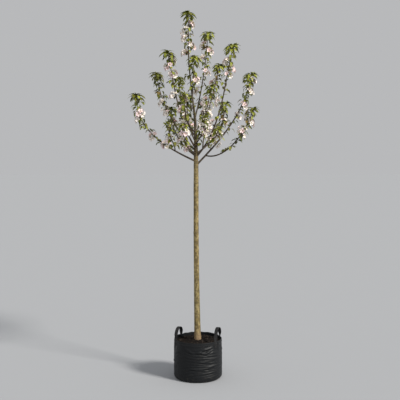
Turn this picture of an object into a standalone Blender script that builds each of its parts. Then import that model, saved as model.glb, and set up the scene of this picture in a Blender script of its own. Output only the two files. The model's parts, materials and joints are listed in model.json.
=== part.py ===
"""A young apple tree in blossom, grown as a standard in a soft bag pot.

Metres, +Z up. The origin is the middle of the bag's flat underside. +X is to the
right and -Y to the front. The tree is a clear stem with a leader, boughs that leave
it at named heights, and one mass of spurs, leaves and blossom at the end of each
bough. Each limb is a cubic curve worked out from where it leaves, how far it goes
and how steeply it starts and ends.
"""

import math
import random
from collections import namedtuple

import bmesh
import bpy
from mathutils import Vector

# Clearance between pieces that touch
GAP = 0.0003

# Bag pot, of woven plastic fabric
BAG_RADIUS = 0.1725
BAG_MOUTH_RADIUS = 0.1680
BAG_HEIGHT = 0.292
BAG_FRONT_DIP = 0.006
BAG_BASE_ROUND = 0.020
BAG_WALL = 0.0022
BAG_BASE_WALL = 0.004
BAG_HEM_DEPTH = 0.024
BAG_HEM_WALL = 0.0034
BAG_HEM_STEP = 0.002
BAG_LINING = 0.002
BAG_BELLY_HEIGHT = 0.070
BAG_WAIST_HEIGHT = 0.160
BAG_WAIST_DRAW = 0.001
BAG_ROUND_SHARES = (1.0, 0.45, 0.12, 0.0)
BAG_LINING_SHARES = (0.0, 0.30, 1.0)
BAG_SIDES = 30

# Compost
SOIL_LEVEL = 0.272
SOIL_FLAT_RADIUS = 0.055
# The surface sags between the trunk and the wall: share of the radius, and sag
SOIL_SAG = ((0.94, 0.0024), (0.65, 0.0060))

# Webbing handles
STRAP_WIDTH = 0.025
STRAP_THICKNESS = 0.0026
STRAP_FOOT = 0.022
HANDLE_TWIST = 0.042
HANDLE_ROUNDNESS = 0.8
HANDLE_STEPS = 14
# Each end is sewn to the middle of a flat of the bag's wall, at these headings. The
# last number is the loop's rise over the mouth.
HANDLES = {
    "handle_right": (-42.0, 18.0, 0.080),
    "handle_left": (138.0, 198.0, 0.070),
}

# Trunk stations: height, sideways x and y, radius
TRUNK_SIDES = 10
TRUNK_STEP = 0.085
TRUNK = (
    (SOIL_LEVEL + GAP, -0.003, 0.000, 0.0270),
    (0.330, -0.004, 0.000, 0.0242),
    (0.560, -0.008, 0.003, 0.0212),
    (1.000, -0.013, -0.003, 0.0188),
    (1.510, -0.014, 0.002, 0.0176),
    (1.660, -0.015, 0.000, 0.0138),
    (1.880, -0.022, -0.003, 0.0100),
    (2.020, -0.038, 0.000, 0.0066),
    (2.200, -0.058, 0.003, 0.0052),
    (2.325, -0.068, 0.001, 0.0045),
)

# Limbs. leaves is a height on the trunk, or a share of the way along another limb.
# heading is the compass way from there to the tip, 0 at +X and 90 at +Y. bow turns
# the start to one side and the end to the other. bare is the share that is a bough,
# before the mass of foliage begins. blossom is a row of (share, heading) clusters.
Limb = namedtuple("Limb", "name parent leaves heading reach rise start end bow girth bare blossom")

LIMBS = (
    Limb("left_low", "trunk", 1.577, -173.2, 0.425, 0.446, 22.8, 93.4, 8.4, 0.0068, 0.33,
         ((0.37, 235), (0.55, 215), (0.72, 200), (0.76, -75))),
    Limb("left_low_side", "left_low", 0.26, -103.1, 0.190, 0.165, 33.7, 77.1, 15.1, 0.0046, 0.22,
         ((0.45, 160),)),
    Limb("right_low", "trunk", 1.547, 14.0, 0.413, 0.646, 45.8, 78.8, -1.3, 0.0072, 0.18,
         ((0.24, -60), (0.56, 20), (0.68, -30), (0.84, -20), (0.95, 0))),
    Limb("right_low_side", "right_low", 0.13, -31.7, 0.380, 0.295, -13.3, 69.9, -8.2, 0.0054, 0.30,
         ((0.60, -10), (0.80, -10), (0.86, 170), (0.90, 250))),
    Limb("right_mid", "trunk", 1.607, -25.0, 0.284, 0.756, 42.1, 77.0, -8.2, 0.0068, 0.19,
         ((0.23, -90), (0.35, 180), (0.55, 190), (0.75, -60), (0.78, 20), (0.90, 200))),
    Limb("right_mid_side", "right_mid", 0.15, -67.5, 0.222, 0.090, 8.8, 56.1, -1.2, 0.0046, 0.30,
         ((0.70, 40),)),
    Limb("right_inner", "right_mid", 0.10, 65.3, 0.308, 0.615, 39.4, 70.5, 22.5, 0.0048, 0.20,
         ((0.30, 0), (0.52, 180), (0.66, 60), (0.80, 120))),
    Limb("inner_right", "trunk", 1.749, -65.9, 0.263, 0.320, 10.1, 66.0, -4.1, 0.0056, 0.26,
         ((0.40, -80), (0.52, 20), (0.66, -60), (0.76, 190))),
    Limb("left_tall", "trunk", 1.671, -136.7, 0.262, 0.633, 40.9, 76.2, 8.5, 0.0066, 0.20,
         ((0.30, 220), (0.42, -60), (0.62, 200), (0.80, -60), (0.84, 210), (0.90, 30))),
    Limb("left_outer", "trunk", 1.652, 143.3, 0.368, 0.563, 32.7, 81.0, -16.4, 0.0060, 0.24,
         ((0.30, 90), (0.56, 210), (0.62, 130), (0.70, 190))),
    Limb("left_inner", "trunk", 1.759, 115.4, 0.310, 0.434, 20.9, 73.5, -2.2, 0.0056, 0.24,
         ((0.40, 70), (0.60, 150), (0.75, 20))),
    Limb("left_front", "trunk", 1.793, -106.4, 0.271, 0.227, 7.5, 67.9, -11.6, 0.0052, 0.24,
         ((0.34, 200), (0.66, 180))),
    Limb("front_left", "trunk", 1.641, -105.4, 0.342, 0.163, 0.1, 53.1, -8.4, 0.0056, 0.28,
         ((0.36, 210), (0.90, -60), (0.82, 210))),
    Limb("right_upper", "trunk", 1.883, 52.0, 0.152, 0.611, 58.0, 85.5, 16.5, 0.0052, 0.16,
         ((0.36, 180), (0.55, -30), (0.72, 190), (0.82, -20), (0.86, 190))),
    Limb("top_front", "trunk", 2.063, -78.8, 0.082, 0.224, -8.2, 61.1, -3.9, 0.0036, 0.18,
         ((0.40, -20),)),
    Limb("back_right", "trunk", 1.741, 81.1, 0.344, 0.283, 0.3, 78.3, -19.9, 0.0056, 0.26,
         ((0.40, 30), (0.62, 140), (0.80, 60))),
    Limb("front_right", "trunk", 1.703, -76.6, 0.267, 0.159, 18.4, 65.4, 2.9, 0.0052, 0.26,
         ((0.50, -20), (0.78, -110))),
    Limb("back_left", "trunk", 1.614, 118.1, 0.408, 0.351, 18.2, 86.3, -1.5, 0.0064, 0.30,
         ((0.42, 160), (0.60, 60), (0.78, 180), (0.88, 90))),
    Limb("back_mid", "trunk", 1.713, 101.0, 0.377, 0.360, 19.8, 85.7, -0.2, 0.0056, 0.26,
         ((0.44, 20), (0.66, 150), (0.84, 60))),
    Limb("back_low", "trunk", 1.632, 60.0, 0.450, 0.380, 16.0, 84.0, 6.0, 0.0062, 0.32,
         ((0.44, 20), (0.60, 110), (0.80, 10), (0.90, 120))),
)
CURVE_HOLD = 0.36
CURVE_STEPS = 48
LIMB_TIP_RADIUS = 0.0024
LIMB_TAPER = 0.85
COLLAR_SWELL = 0.35
COLLAR_LENGTH = 0.016
BOUGH_SIDES = 6
BOUGH_STEP = 0.050
STEM_SIDES = 5
STEM_STEP = 0.085

# Leader, the leafy top of the trunk
LEADER_RISE = 0.287
LEADER_SWAY = 0.004
LEADER_LEAN = 0.002
LEADER_STEPS = 12
LEADER_BLOSSOM = ((0.06, 200), (0.16, -20), (0.24, 195), (0.50, 190), (0.62, 10), (0.66, -80))

# Spurs along a stem
GOLDEN_TURN = math.radians(137.5)
SPUR_SPACING = 0.050
SPUR_START = 0.018
SPUR_END = 0.030
SPUR_LENGTH = (0.012, 0.020)
SPUR_ROOT_RADIUS = 0.0018
SPUR_BUD_RADIUS = 0.0032
SPUR_LEAN = math.radians(62.0)

# Leaves, young and narrow
LEAF_LENGTH = (0.048, 0.060)
LEAF_WIDTH = 0.38
LEAF_KEEL = 0.0024
LEAF_ARCH = 0.16
LEAF_BEND = 0.46
LEAF_ROOTS = (0.0025, 0.0065)
LEAF_SPREAD = (0.45, 0.75)
LEAF_DROOP = (-38.0, -8.0)
ROSETTE_LEAVES = 6
ROSETTE_LENGTH = (0.051, 0.063)
ROSETTE_ARCH = 0.30
ROSETTE_DROOP = (-16.0, 6.0)
ROSETTE_SCATTER = 0.15
ROSETTE_SEAT = 0.005
ROSETTE_STEP = 0.003
TOP_LEAF_LENGTH = 0.040
TOP_LEAF_LEAN = 0.25

# Blossom
FLOWERS_PER_CLUSTER = (2, 2, 2, 3)
PETALS = 5
FLOWER_RADIUS = 0.0200
FLOWER_STALK = 0.026
FLOWER_WAYS = ((-48.0, 6.0), (46.0, 20.0), (-4.0, 62.0))
FLOWER_STEP = 0.003
CLUSTER_PITCH = 18.0

# How far foliage keeps from bare limbs and from the next mass
LIMB_CLEARANCE = 0.0040
MASS_CLEARANCE = 0.0030


def clear_scene():
    for old in list(bpy.data.objects):
        bpy.data.objects.remove(old)


def finish(name, colour, roughness):
    """A plain Principled material."""
    material = bpy.data.materials.new(name)
    material.use_nodes = True
    shader = material.node_tree.nodes["Principled BSDF"]
    shader.inputs["Base Color"].default_value = (*colour, 1.0)
    shader.inputs["Roughness"].default_value = roughness
    shader.inputs["Metallic"].default_value = 0.0
    return material


def solid(name, points, faces, material):
    """One object from corner points and faces, with its faces pointing out."""
    mesh = bpy.data.meshes.new(name)
    mesh.from_pydata([tuple(p) for p in points], [], faces)
    mesh.materials.append(material)
    shape = bmesh.new()
    shape.from_mesh(mesh)
    bmesh.ops.recalc_face_normals(shape, faces=shape.faces)
    shape.to_mesh(mesh)
    shape.free()
    item = bpy.data.objects.new(name, mesh)
    bpy.context.scene.collection.objects.link(item)
    return item


def smooth(item, angle=40.0):
    item.data.shade_smooth()
    item.data.set_sharp_from_angle(angle=math.radians(angle))


def compass(heading, pitch=0.0):
    """A unit vector by heading and pitch in radians."""
    level = math.cos(pitch)
    return Vector((level * math.cos(heading), level * math.sin(heading), math.sin(pitch)))


class Path:
    """A line of points that can be asked for a place and a heading by distance."""

    def __init__(self, points):
        self.points = [Vector(p) for p in points]
        self.marks = [0.0]
        for a, b in zip(self.points, self.points[1:]):
            self.marks.append(self.marks[-1] + (b - a).length)
        self.length = self.marks[-1]

    def leg(self, distance):
        last = len(self.points) - 2
        for i in range(last):
            if distance <= self.marks[i + 1]:
                return i
        return last

    def place(self, distance):
        i = self.leg(distance)
        share = (distance - self.marks[i]) / (self.marks[i + 1] - self.marks[i])
        return self.points[i].lerp(self.points[i + 1], share)

    def heading(self, distance, reach=0.010):
        ahead = self.place(min(distance + reach, self.length))
        behind = self.place(max(distance - reach, 0.0))
        return (ahead - behind).normalized()

    def distance_to(self, point):
        """How far a point lies from the line."""
        best = 1e9
        for a, b in zip(self.points, self.points[1:]):
            run = b - a
            share = max(0.0, min(1.0, (point - a).dot(run) / run.length_squared))
            best = min(best, (point - a - run * share).length)
        return best


def through(stations, step):
    """A smooth line through stations: a height first, then values that follow it."""
    rows = []
    last = len(stations) - 1
    for i in range(last):
        before = stations[max(i - 1, 0)]
        a = stations[i]
        b = stations[i + 1]
        after = stations[min(i + 2, last)]
        rise = b[0] - a[0]
        count = max(1, round(rise / step))
        for k in range(count + (i == last - 1)):
            t = k / count
            row = [a[0] + rise * t]
            for j in range(1, len(a)):
                slope_a = (b[j] - before[j]) / (b[0] - before[0]) * rise
                slope_b = (after[j] - a[j]) / (after[0] - a[0]) * rise
                row.append(
                    (2 * t**3 - 3 * t**2 + 1) * a[j] + (t**3 - 2 * t**2 + t) * slope_a
                    + (3 * t**2 - 2 * t**3) * b[j] + (t**3 - t**2) * slope_b)
            rows.append(row)
    return rows


def ring_axes(headings):
    """Two directions across a line at each of its points, carried along with no twist."""
    axes = []
    across = None
    for along in headings:
        if across is None:
            across = along.orthogonal()
        across = (across - along * across.dot(along)).normalized()
        axes.append((across, along.cross(across)))
    return axes


def tube(name, points, axes, radii, sides, material):
    """A closed tapering tube along points."""
    corners = []
    for point, radius, (across, up) in zip(points, radii, axes):
        for k in range(sides):
            turn = 2 * math.pi * k / sides
            corners.append(point + (across * math.cos(turn) + up * math.sin(turn)) * radius)
    faces = [tuple(range(sides)), tuple(range(len(corners) - sides, len(corners)))]
    for i in range(len(points) - 1):
        for k in range(sides):
            a = i * sides + k
            b = i * sides + (k + 1) % sides
            faces.append((a, b, b + sides, a + sides))
    return solid(name, corners, faces, material)


def cut_away(item, cutter):
    """Takes a cutter out of an item, and removes the cutter."""
    cut = item.modifiers.new("seat", "BOOLEAN")
    cut.operation = "DIFFERENCE"
    cut.solver = "EXACT"
    cut.object = cutter
    bake_modifiers(item)
    bpy.data.objects.remove(cutter)


def bake_modifiers(item):
    graph = bpy.context.evaluated_depsgraph_get()
    mesh = bpy.data.meshes.new_from_object(item.evaluated_get(graph), depsgraph=graph)
    item.modifiers.clear()
    item.data = mesh


def keep_outer_shell(item):
    """Drops loose scraps and sealed hollows: only the largest shell stays."""
    shape = bmesh.new()
    shape.from_mesh(item.data)
    left = set(shape.faces)
    shells = []
    while left:
        seed = left.pop()
        shell = [seed]
        queue = [seed]
        while queue:
            for edge in queue.pop().edges:
                for face in edge.link_faces:
                    if face in left:
                        left.remove(face)
                        shell.append(face)
                        queue.append(face)
        shells.append(shell)
    largest = max(shells, key=lambda faces: sum(f.calc_area() for f in faces))
    scraps = [face for shell in shells if shell is not largest for face in shell]
    bmesh.ops.delete(shape, geom=scraps, context="FACES")
    shape.to_mesh(item.data)
    shape.free()


def fuse(stem, pieces):
    """One union of a stem and all the pieces on it, which are then removed."""
    group = bpy.data.collections.new(stem.name + "_pieces")
    bpy.context.scene.collection.children.link(group)
    for piece in pieces:
        bpy.context.scene.collection.objects.unlink(piece)
        group.objects.link(piece)
    join = stem.modifiers.new("grow", "BOOLEAN")
    join.operation = "UNION"
    join.solver = "EXACT"
    join.operand_type = "COLLECTION"
    join.collection = group
    join.material_mode = "TRANSFER"
    bake_modifiers(stem)
    for piece in pieces:
        bpy.data.objects.remove(piece)
    bpy.data.collections.remove(group)
    keep_outer_shell(stem)


# Bag pot, compost and handles


def bag_radius(height):
    """The bag's outer radius: round at the base, and drawn in a little at the mouth."""
    if height < BAG_BASE_ROUND:
        rest = 1.0 - height / BAG_BASE_ROUND
        return BAG_RADIUS - BAG_BASE_ROUND * (1.0 - math.sqrt(1.0 - rest * rest))
    draw = max(0.0, height - BAG_BASE_ROUND) / (BAG_HEIGHT - BAG_BASE_ROUND)
    return BAG_RADIUS + (BAG_MOUTH_RADIUS - BAG_RADIUS) * draw**3


def bag_profile():
    """Radius and height down the outside and up the inside, from mouth to mouth."""
    hem_foot = BAG_HEIGHT - BAG_HEM_DEPTH
    outer = [
        (bag_radius(BAG_HEIGHT), BAG_HEIGHT),
        (bag_radius(hem_foot), hem_foot),
        (bag_radius(hem_foot) - BAG_HEM_WALL + BAG_WALL, hem_foot - BAG_HEM_STEP),
        (bag_radius(BAG_WAIST_HEIGHT) - BAG_WAIST_DRAW, BAG_WAIST_HEIGHT),
        (BAG_RADIUS, BAG_BELLY_HEIGHT),
    ]
    for share in BAG_ROUND_SHARES:
        height = BAG_BASE_ROUND * share
        outer.append((bag_radius(height), height))
    inner = []
    for share in BAG_LINING_SHARES:
        height = BAG_BASE_WALL + BAG_BASE_ROUND * share
        inner.append((bag_radius(BAG_BASE_ROUND * share) - BAG_WALL - BAG_LINING, height))
    inner.append((bag_radius(hem_foot) - BAG_HEM_WALL, hem_foot - BAG_HEM_STEP * 2))
    inner.append((bag_radius(BAG_HEIGHT) - BAG_HEM_WALL, BAG_HEIGHT))
    return outer, inner


def rim_dip(turn):
    """How far the mouth sags at a heading: most at the front."""
    return BAG_FRONT_DIP * 0.5 * (1.0 - math.sin(turn))


def turned(name, profile, sides, material, dips=()):
    """A closed turned solid. profile runs from one end on the axis to the other."""
    corners = []
    rings = []
    for i, (radius, height) in enumerate(profile):
        if radius == 0.0:
            rings.append([len(corners)])
            corners.append((0.0, 0.0, height))
            continue
        ring = []
        for k in range(sides):
            turn = 2 * math.pi * k / sides
            dip = rim_dip(turn) if i in dips else 0.0
            ring.append(len(corners))
            corners.append((radius * math.cos(turn), radius * math.sin(turn), height - dip))
        rings.append(ring)
    faces = []
    for a, b in zip(rings, rings[1:]):
        for k in range(sides):
            n = (k + 1) % sides
            if len(a) == 1:
                faces.append((a[0], b[k], b[n]))
            elif len(b) == 1:
                faces.append((a[k], a[n], b[0]))
            else:
                faces.append((a[k], a[n], b[n], b[k]))
    return solid(name, corners, faces, material)


def make_bag(material):
    outer, inner = bag_profile()
    profile = [(0.0, 0.0)] + outer[::-1] + inner[::-1] + [(0.0, BAG_BASE_WALL)]
    mouth = (len(outer), len(outer) + 1)
    hem = (len(outer) - 2, len(outer) - 1, len(outer) + 2)
    bag = turned("bag", profile, BAG_SIDES, material, dips=mouth + hem)
    smooth(bag)
    return bag


def make_soil(material):
    inner = bag_profile()[1]
    side = []
    for radius, height in inner[:3]:
        side.append((radius - GAP * 2, height + GAP))
    hem_radius, hem_height = inner[3]
    wall_run = (SOIL_LEVEL - inner[2][1]) / (hem_height - inner[2][1])
    edge = inner[2][0] + (hem_radius - inner[2][0]) * min(wall_run, 1.0)
    side.append((edge - GAP * 3, hem_height - BAG_FRONT_DIP - BAG_HEM_STEP))
    surface = [(edge * share, SOIL_LEVEL - sag) for share, sag in SOIL_SAG]
    surface += [(SOIL_FLAT_RADIUS, SOIL_LEVEL), (0.0, SOIL_LEVEL)]
    profile = [(0.0, BAG_BASE_WALL + GAP)] + side + surface
    soil = turned("soil", profile, BAG_SIDES, material)
    smooth(soil)
    return soil


def strap_end(heading):
    """Where one end of a strap lies on the wall: its points from foot to rim."""
    out = compass(heading)
    outer = bag_profile()[0]
    dip = rim_dip(heading)
    (mouth, top), (hem, hem_foot), (under, below), (wall, wall_height) = outer[:4]
    foot = hem_foot - STRAP_FOOT
    share = (below - foot) / (below - dip - wall_height)
    rows = (
        (under + (wall - under) * share, foot - dip),
        (hem, hem_foot - dip),
        (mouth, top - dip),
    )
    lift = STRAP_THICKNESS / 2 + GAP
    flat = math.cos(math.pi / BAG_SIDES)
    points = [out * (radius * flat + lift) + Vector((0.0, 0.0, height)) for radius, height in rows]
    return points, Vector((-out.y, out.x, 0.0))


def handle_line(start, end, loop_rise):
    """Points of a strap's middle line, and the way its width lies at each of them."""
    first, first_side = strap_end(math.radians(start))
    last, last_side = strap_end(math.radians(end))
    a = first[-1]
    chord = last[-1] - a
    across = Vector((chord.y, -chord.x, 0.0)).normalized()
    points = list(first)
    widths = [first_side] * len(first)
    for k in range(1, HANDLE_STEPS):
        turn = math.pi * k / HANDLE_STEPS
        rise = loop_rise * math.sin(turn) ** HANDLE_ROUNDNESS
        points.append(a + chord * (0.5 - 0.5 * math.cos(turn)) + Vector((0.0, 0.0, rise)))
        side = first_side if k < HANDLE_STEPS / 2 else last_side
        facing = across if side.dot(across) > 0 else -across
        twist = min(1.0, rise / HANDLE_TWIST)
        widths.append(side.lerp(facing, twist * twist * (3 - 2 * twist)).normalized())
    points += last[::-1]
    widths += [last_side] * len(last)
    return points, widths


def make_handle(name, start, end, loop_rise, material):
    """A strap sewn flat on the bag at both ends, which turns edgewise to make the loop."""
    points, widths = handle_line(start, end, loop_rise)
    corners = []
    previous = None
    for i, (point, width) in enumerate(zip(points, widths)):
        ahead = points[min(i + 1, len(points) - 1)]
        behind = points[max(i - 1, 0)]
        along = (ahead - behind).normalized()
        wide = (width - along * width.dot(along)).normalized()
        if previous and wide.dot(previous) < 0:
            wide = -wide
        previous = wide
        thick = along.cross(wide) * (STRAP_THICKNESS / 2)
        wide = wide * (STRAP_WIDTH / 2)
        corners += [point + wide + thick, point + wide - thick, point - wide - thick, point - wide + thick]
    faces = [(0, 1, 2, 3), tuple(range(len(corners) - 4, len(corners)))]
    for i in range(len(points) - 1):
        for k in range(4):
            n = (k + 1) % 4
            faces.append((i * 4 + k, i * 4 + n, i * 4 + 4 + n, i * 4 + 4 + k))
    return solid(name, corners, faces, material)


# Trunk and boughs


TRUNK_ROWS = through(TRUNK, TRUNK_STEP)
PATHS = {"trunk": Path([(row[1], row[2], row[0]) for row in TRUNK_ROWS])}


def trunk_tube(name, material, extra=0.0):
    points = PATHS["trunk"].points
    radii = [row[3] + extra for row in TRUNK_ROWS]
    level = (Vector((1.0, 0.0, 0.0)), Vector((0.0, 1.0, 0.0)))
    return tube(name, points, [level] * len(points), radii, TRUNK_SIDES, material)


def trunk_place(height):
    """The trunk's middle at a height, and its radius there."""
    for low, high in zip(TRUNK_ROWS, TRUNK_ROWS[1:]):
        if height <= high[0]:
            share = (height - low[0]) / (high[0] - low[0])
            row = [a + (b - a) * share for a, b in zip(low, high)]
            return Vector((row[1], row[2], row[0])), row[3]
    return PATHS["trunk"].points[-1], TRUNK_ROWS[-1][3]


def limb_path(limb):
    """The cubic curve of a limb, as a fine line."""
    if limb.parent == "trunk":
        start = trunk_place(limb.leaves)[0]
    else:
        parent = PATHS[limb.parent]
        start = parent.place(parent.length * limb.leaves)
    heading = math.radians(limb.heading)
    bow = math.radians(limb.bow)
    tip = start + compass(heading) * limb.reach + Vector((0.0, 0.0, limb.rise))
    hold = (tip - start).length * CURVE_HOLD
    first = start + compass(heading + bow, math.radians(limb.start)) * hold
    second = tip - compass(heading - bow, math.radians(limb.end)) * hold
    points = []
    for i in range(CURVE_STEPS + 1):
        t = i / CURVE_STEPS
        u = 1.0 - t
        points.append(start * u**3 + first * (3 * u * u * t) + second * (3 * u * t * t) + tip * t**3)
    return Path(points)


def limb_radius(limb, share):
    return LIMB_TIP_RADIUS + (limb.girth - LIMB_TIP_RADIUS) * max(0.0, 1.0 - share) ** LIMB_TAPER


def stretch(path, start, end, step):
    """Evenly spaced points of a path between two distances."""
    count = max(2, round((end - start) / step))
    distances = [start + (end - start) * k / count for k in range(count + 1)]
    return distances, [path.place(d) for d in distances]


def bough_tube(name, limb, material, extra=0.0):
    """The bare part of a limb, from its parent's middle to where its foliage begins."""
    path = PATHS[limb.name]
    distances, points = stretch(path, 0.0, path.length * limb.bare, BOUGH_STEP)
    radii = []
    for distance in distances:
        radius = limb_radius(limb, distance / path.length)
        if limb.parent == "trunk":
            radius *= 1.0 + COLLAR_SWELL * math.exp(-distance / COLLAR_LENGTH)
        radii.append(radius + extra)
    axes = ring_axes([path.heading(distance) for distance in distances])
    return tube(name, points, axes, radii, BOUGH_SIDES, material)


def make_bough(limb, material):
    bough = bough_tube("bough_" + limb.name, limb, material)
    swell = GAP / math.cos(math.pi / BOUGH_SIDES)
    if limb.parent == "trunk":
        cutter = trunk_tube("cutter", material, swell)
    else:
        parent = next(other for other in LIMBS if other.name == limb.parent)
        cutter = bough_tube("cutter", parent, material, swell)
    cut_away(bough, cutter)
    keep_outer_shell(bough)
    smooth(bough)
    return bough


# Masses of foliage


def leaf(root, along, length, arch, material):
    """A leaf of six faces on a keel, which rises from its root and droops to its tip."""
    across = along.cross(Vector((0.0, 0.0, 1.0)))
    across = across.normalized() if across.length > 0.05 else Vector((1.0, 0.0, 0.0))
    up = across.cross(along)
    middle = root + along * (length * LEAF_BEND) + up * (length * arch)
    keel = middle - up * LEAF_KEEL
    half = across * (length * LEAF_WIDTH / 2)
    corners = [root, middle + half, keel, middle - half, root + along * length]
    faces = [(0, 1, 2), (0, 2, 3), (0, 3, 1), (4, 2, 1), (4, 3, 2), (4, 1, 3)]
    return corners, faces, material


def flower(root, along, material):
    """An open flower: a five-sided cup that narrows to its stalk."""
    across = along.orthogonal().normalized()
    up = along.cross(across)
    centre = root + along * FLOWER_STALK
    corners = [root]
    for k in range(PETALS):
        turn = 2 * math.pi * k / PETALS
        corners.append(centre + (across * math.cos(turn) + up * math.sin(turn)) * FLOWER_RADIUS)
    faces = [tuple(range(1, PETALS + 1))]
    for k in range(PETALS):
        faces.append((0, 1 + (k + 1) % PETALS, 1 + k))
    return corners, faces, material


def spur_twig(root, tip, material):
    """A three-sided twig that swells to a bud."""
    along = (tip - root).normalized()
    across = along.orthogonal().normalized()
    up = along.cross(across)
    corners = []
    for point, radius in ((root, SPUR_ROOT_RADIUS), (tip, SPUR_BUD_RADIUS)):
        for k in range(3):
            turn = 2 * math.pi * k / 3
            corners.append(point + (across * math.cos(turn) + up * math.sin(turn)) * radius)
    faces = [(0, 2, 1), (3, 4, 5), (0, 1, 4, 3), (1, 2, 5, 4), (2, 0, 3, 5)]
    return corners, faces, material


def leans(along, turn, angle):
    """A direction at an angle from along, turned round it."""
    side = along.cross(Vector((0.0, 1.0, 0.0))).normalized()
    other = along.cross(side)
    return along * math.cos(angle) + (side * math.cos(turn) + other * math.sin(turn)) * math.sin(angle)


def spurs(path, start, blossom, rng):
    """Spurs along a stem: where each starts, its way and whether it carries blossom."""
    found = []
    distance = start + SPUR_START
    turn = rng.uniform(0.0, 2 * math.pi)
    while distance < path.length - SPUR_END:
        way = leans(path.heading(distance), turn, SPUR_LEAN)
        found.append([distance, way, False])
        distance += SPUR_SPACING * rng.uniform(0.85, 1.15)
        turn += GOLDEN_TURN
    for share, heading in blossom:
        free = [spur for spur in found if not spur[2]]
        if free:
            nearest = min(free, key=lambda spur: abs(spur[0] - share * path.length))
            nearest[1] = compass(math.radians(heading), math.radians(CLUSTER_PITCH))
            nearest[2] = True
    return found


def fits(corners, own, limbs, masses):
    """Whether a piece keeps to its own mass's space and clear of the bare limbs."""
    samples = list(corners)
    root = corners[0]
    samples += [root.lerp(corner, 0.5) for corner in corners[1:]]
    samples += [a.lerp(b, 0.5) for a, b in zip(corners[1:], corners[2:])]
    for point in samples:
        reach = own.distance_to(point)
        for path, radius in limbs:
            if path.distance_to(point) < radius + LIMB_CLEARANCE:
                return False
        for path in masses:
            if path.distance_to(point) < reach + MASS_CLEARANCE:
                return False
    return True


def grow(path, start, blossom, rng, fits_here, looks):
    """The spurs, leaves and flowers of one mass, each as corners, faces and material."""
    bark, green, petal = looks
    pieces = []
    for distance, way, flowering in spurs(path, start, blossom, rng):
        root = path.place(distance)
        tip = root + way * rng.uniform(*SPUR_LENGTH)
        twig = spur_twig(root, tip, bark)
        level = math.atan2(way.y, way.x)
        found = []
        if flowering:
            count = rng.choice(FLOWERS_PER_CLUSTER)
            for k, (side, pitch) in enumerate(FLOWER_WAYS[:count]):
                facing = compass(level + math.radians(side), math.radians(pitch))
                found.append(flower(tip - way * FLOWER_STEP * (k + 1), facing, petal))
        else:
            for side, back in zip((-1, 1), LEAF_ROOTS):
                turn = level + side * rng.uniform(*LEAF_SPREAD)
                droop = math.radians(rng.uniform(*LEAF_DROOP))
                length = rng.uniform(*LEAF_LENGTH)
                found.append(leaf(tip - way * back, compass(turn, droop), length, LEAF_ARCH, green))
        found = [piece for piece in found if fits_here(piece[0])]
        if found and fits_here(twig[0][3:]):
            pieces.append(twig)
            pieces += found
    crown = path.points[-1]
    along = path.heading(path.length)
    seat = crown - along * ROSETTE_SEAT
    first = rng.uniform(0.0, 2 * math.pi)
    for k in range(ROSETTE_LEAVES):
        scatter = rng.uniform(-ROSETTE_SCATTER, ROSETTE_SCATTER)
        heading = first + 2 * math.pi * k / ROSETTE_LEAVES + scatter
        way = compass(heading, math.radians(rng.uniform(*ROSETTE_DROOP)))
        length = rng.uniform(*ROSETTE_LENGTH)
        piece = leaf(seat - along * ROSETTE_STEP * k, way, length, ROSETTE_ARCH, green)
        if fits_here(piece[0]):
            pieces.append(piece)
    lean = (along + compass(first) * TOP_LEAF_LEAN).normalized()
    pieces.append(leaf(seat, lean, TOP_LEAF_LENGTH, 0.0, green))
    return pieces


def make_mass(name, path, start, radius_at, blossom, seed, limbs, masses, looks):
    """A stem that carries on from its bough's end, with all that grows on it."""
    rng = random.Random(seed)
    distances, points = stretch(path, start + GAP, path.length, STEM_STEP)
    radii = [radius_at(distance / path.length) for distance in distances]
    axes = ring_axes([path.heading(distance) for distance in distances])
    stem = tube(name, points, axes, radii, STEM_SIDES, looks[0])
    for look in looks[1:]:
        stem.data.materials.append(look)
    own = Path(points)

    def fits_here(corners):
        return fits(corners, own, limbs, masses)

    pieces = []
    for k, (corners, faces, look) in enumerate(grow(path, start, blossom, rng, fits_here, looks)):
        pieces.append(solid(name + "_" + str(k), corners, faces, look))
    fuse(stem, pieces)
    return stem


def leader_path():
    """The leader goes on from the trunk's top, straight up."""
    foot = PATHS["trunk"].points[-1]
    points = []
    for k in range(LEADER_STEPS + 1):
        share = k / LEADER_STEPS
        sway = LEADER_SWAY * math.sin(math.pi * share)
        points.append(foot + Vector((-LEADER_LEAN * share, sway, LEADER_RISE * share)))
    return Path(points)


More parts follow.
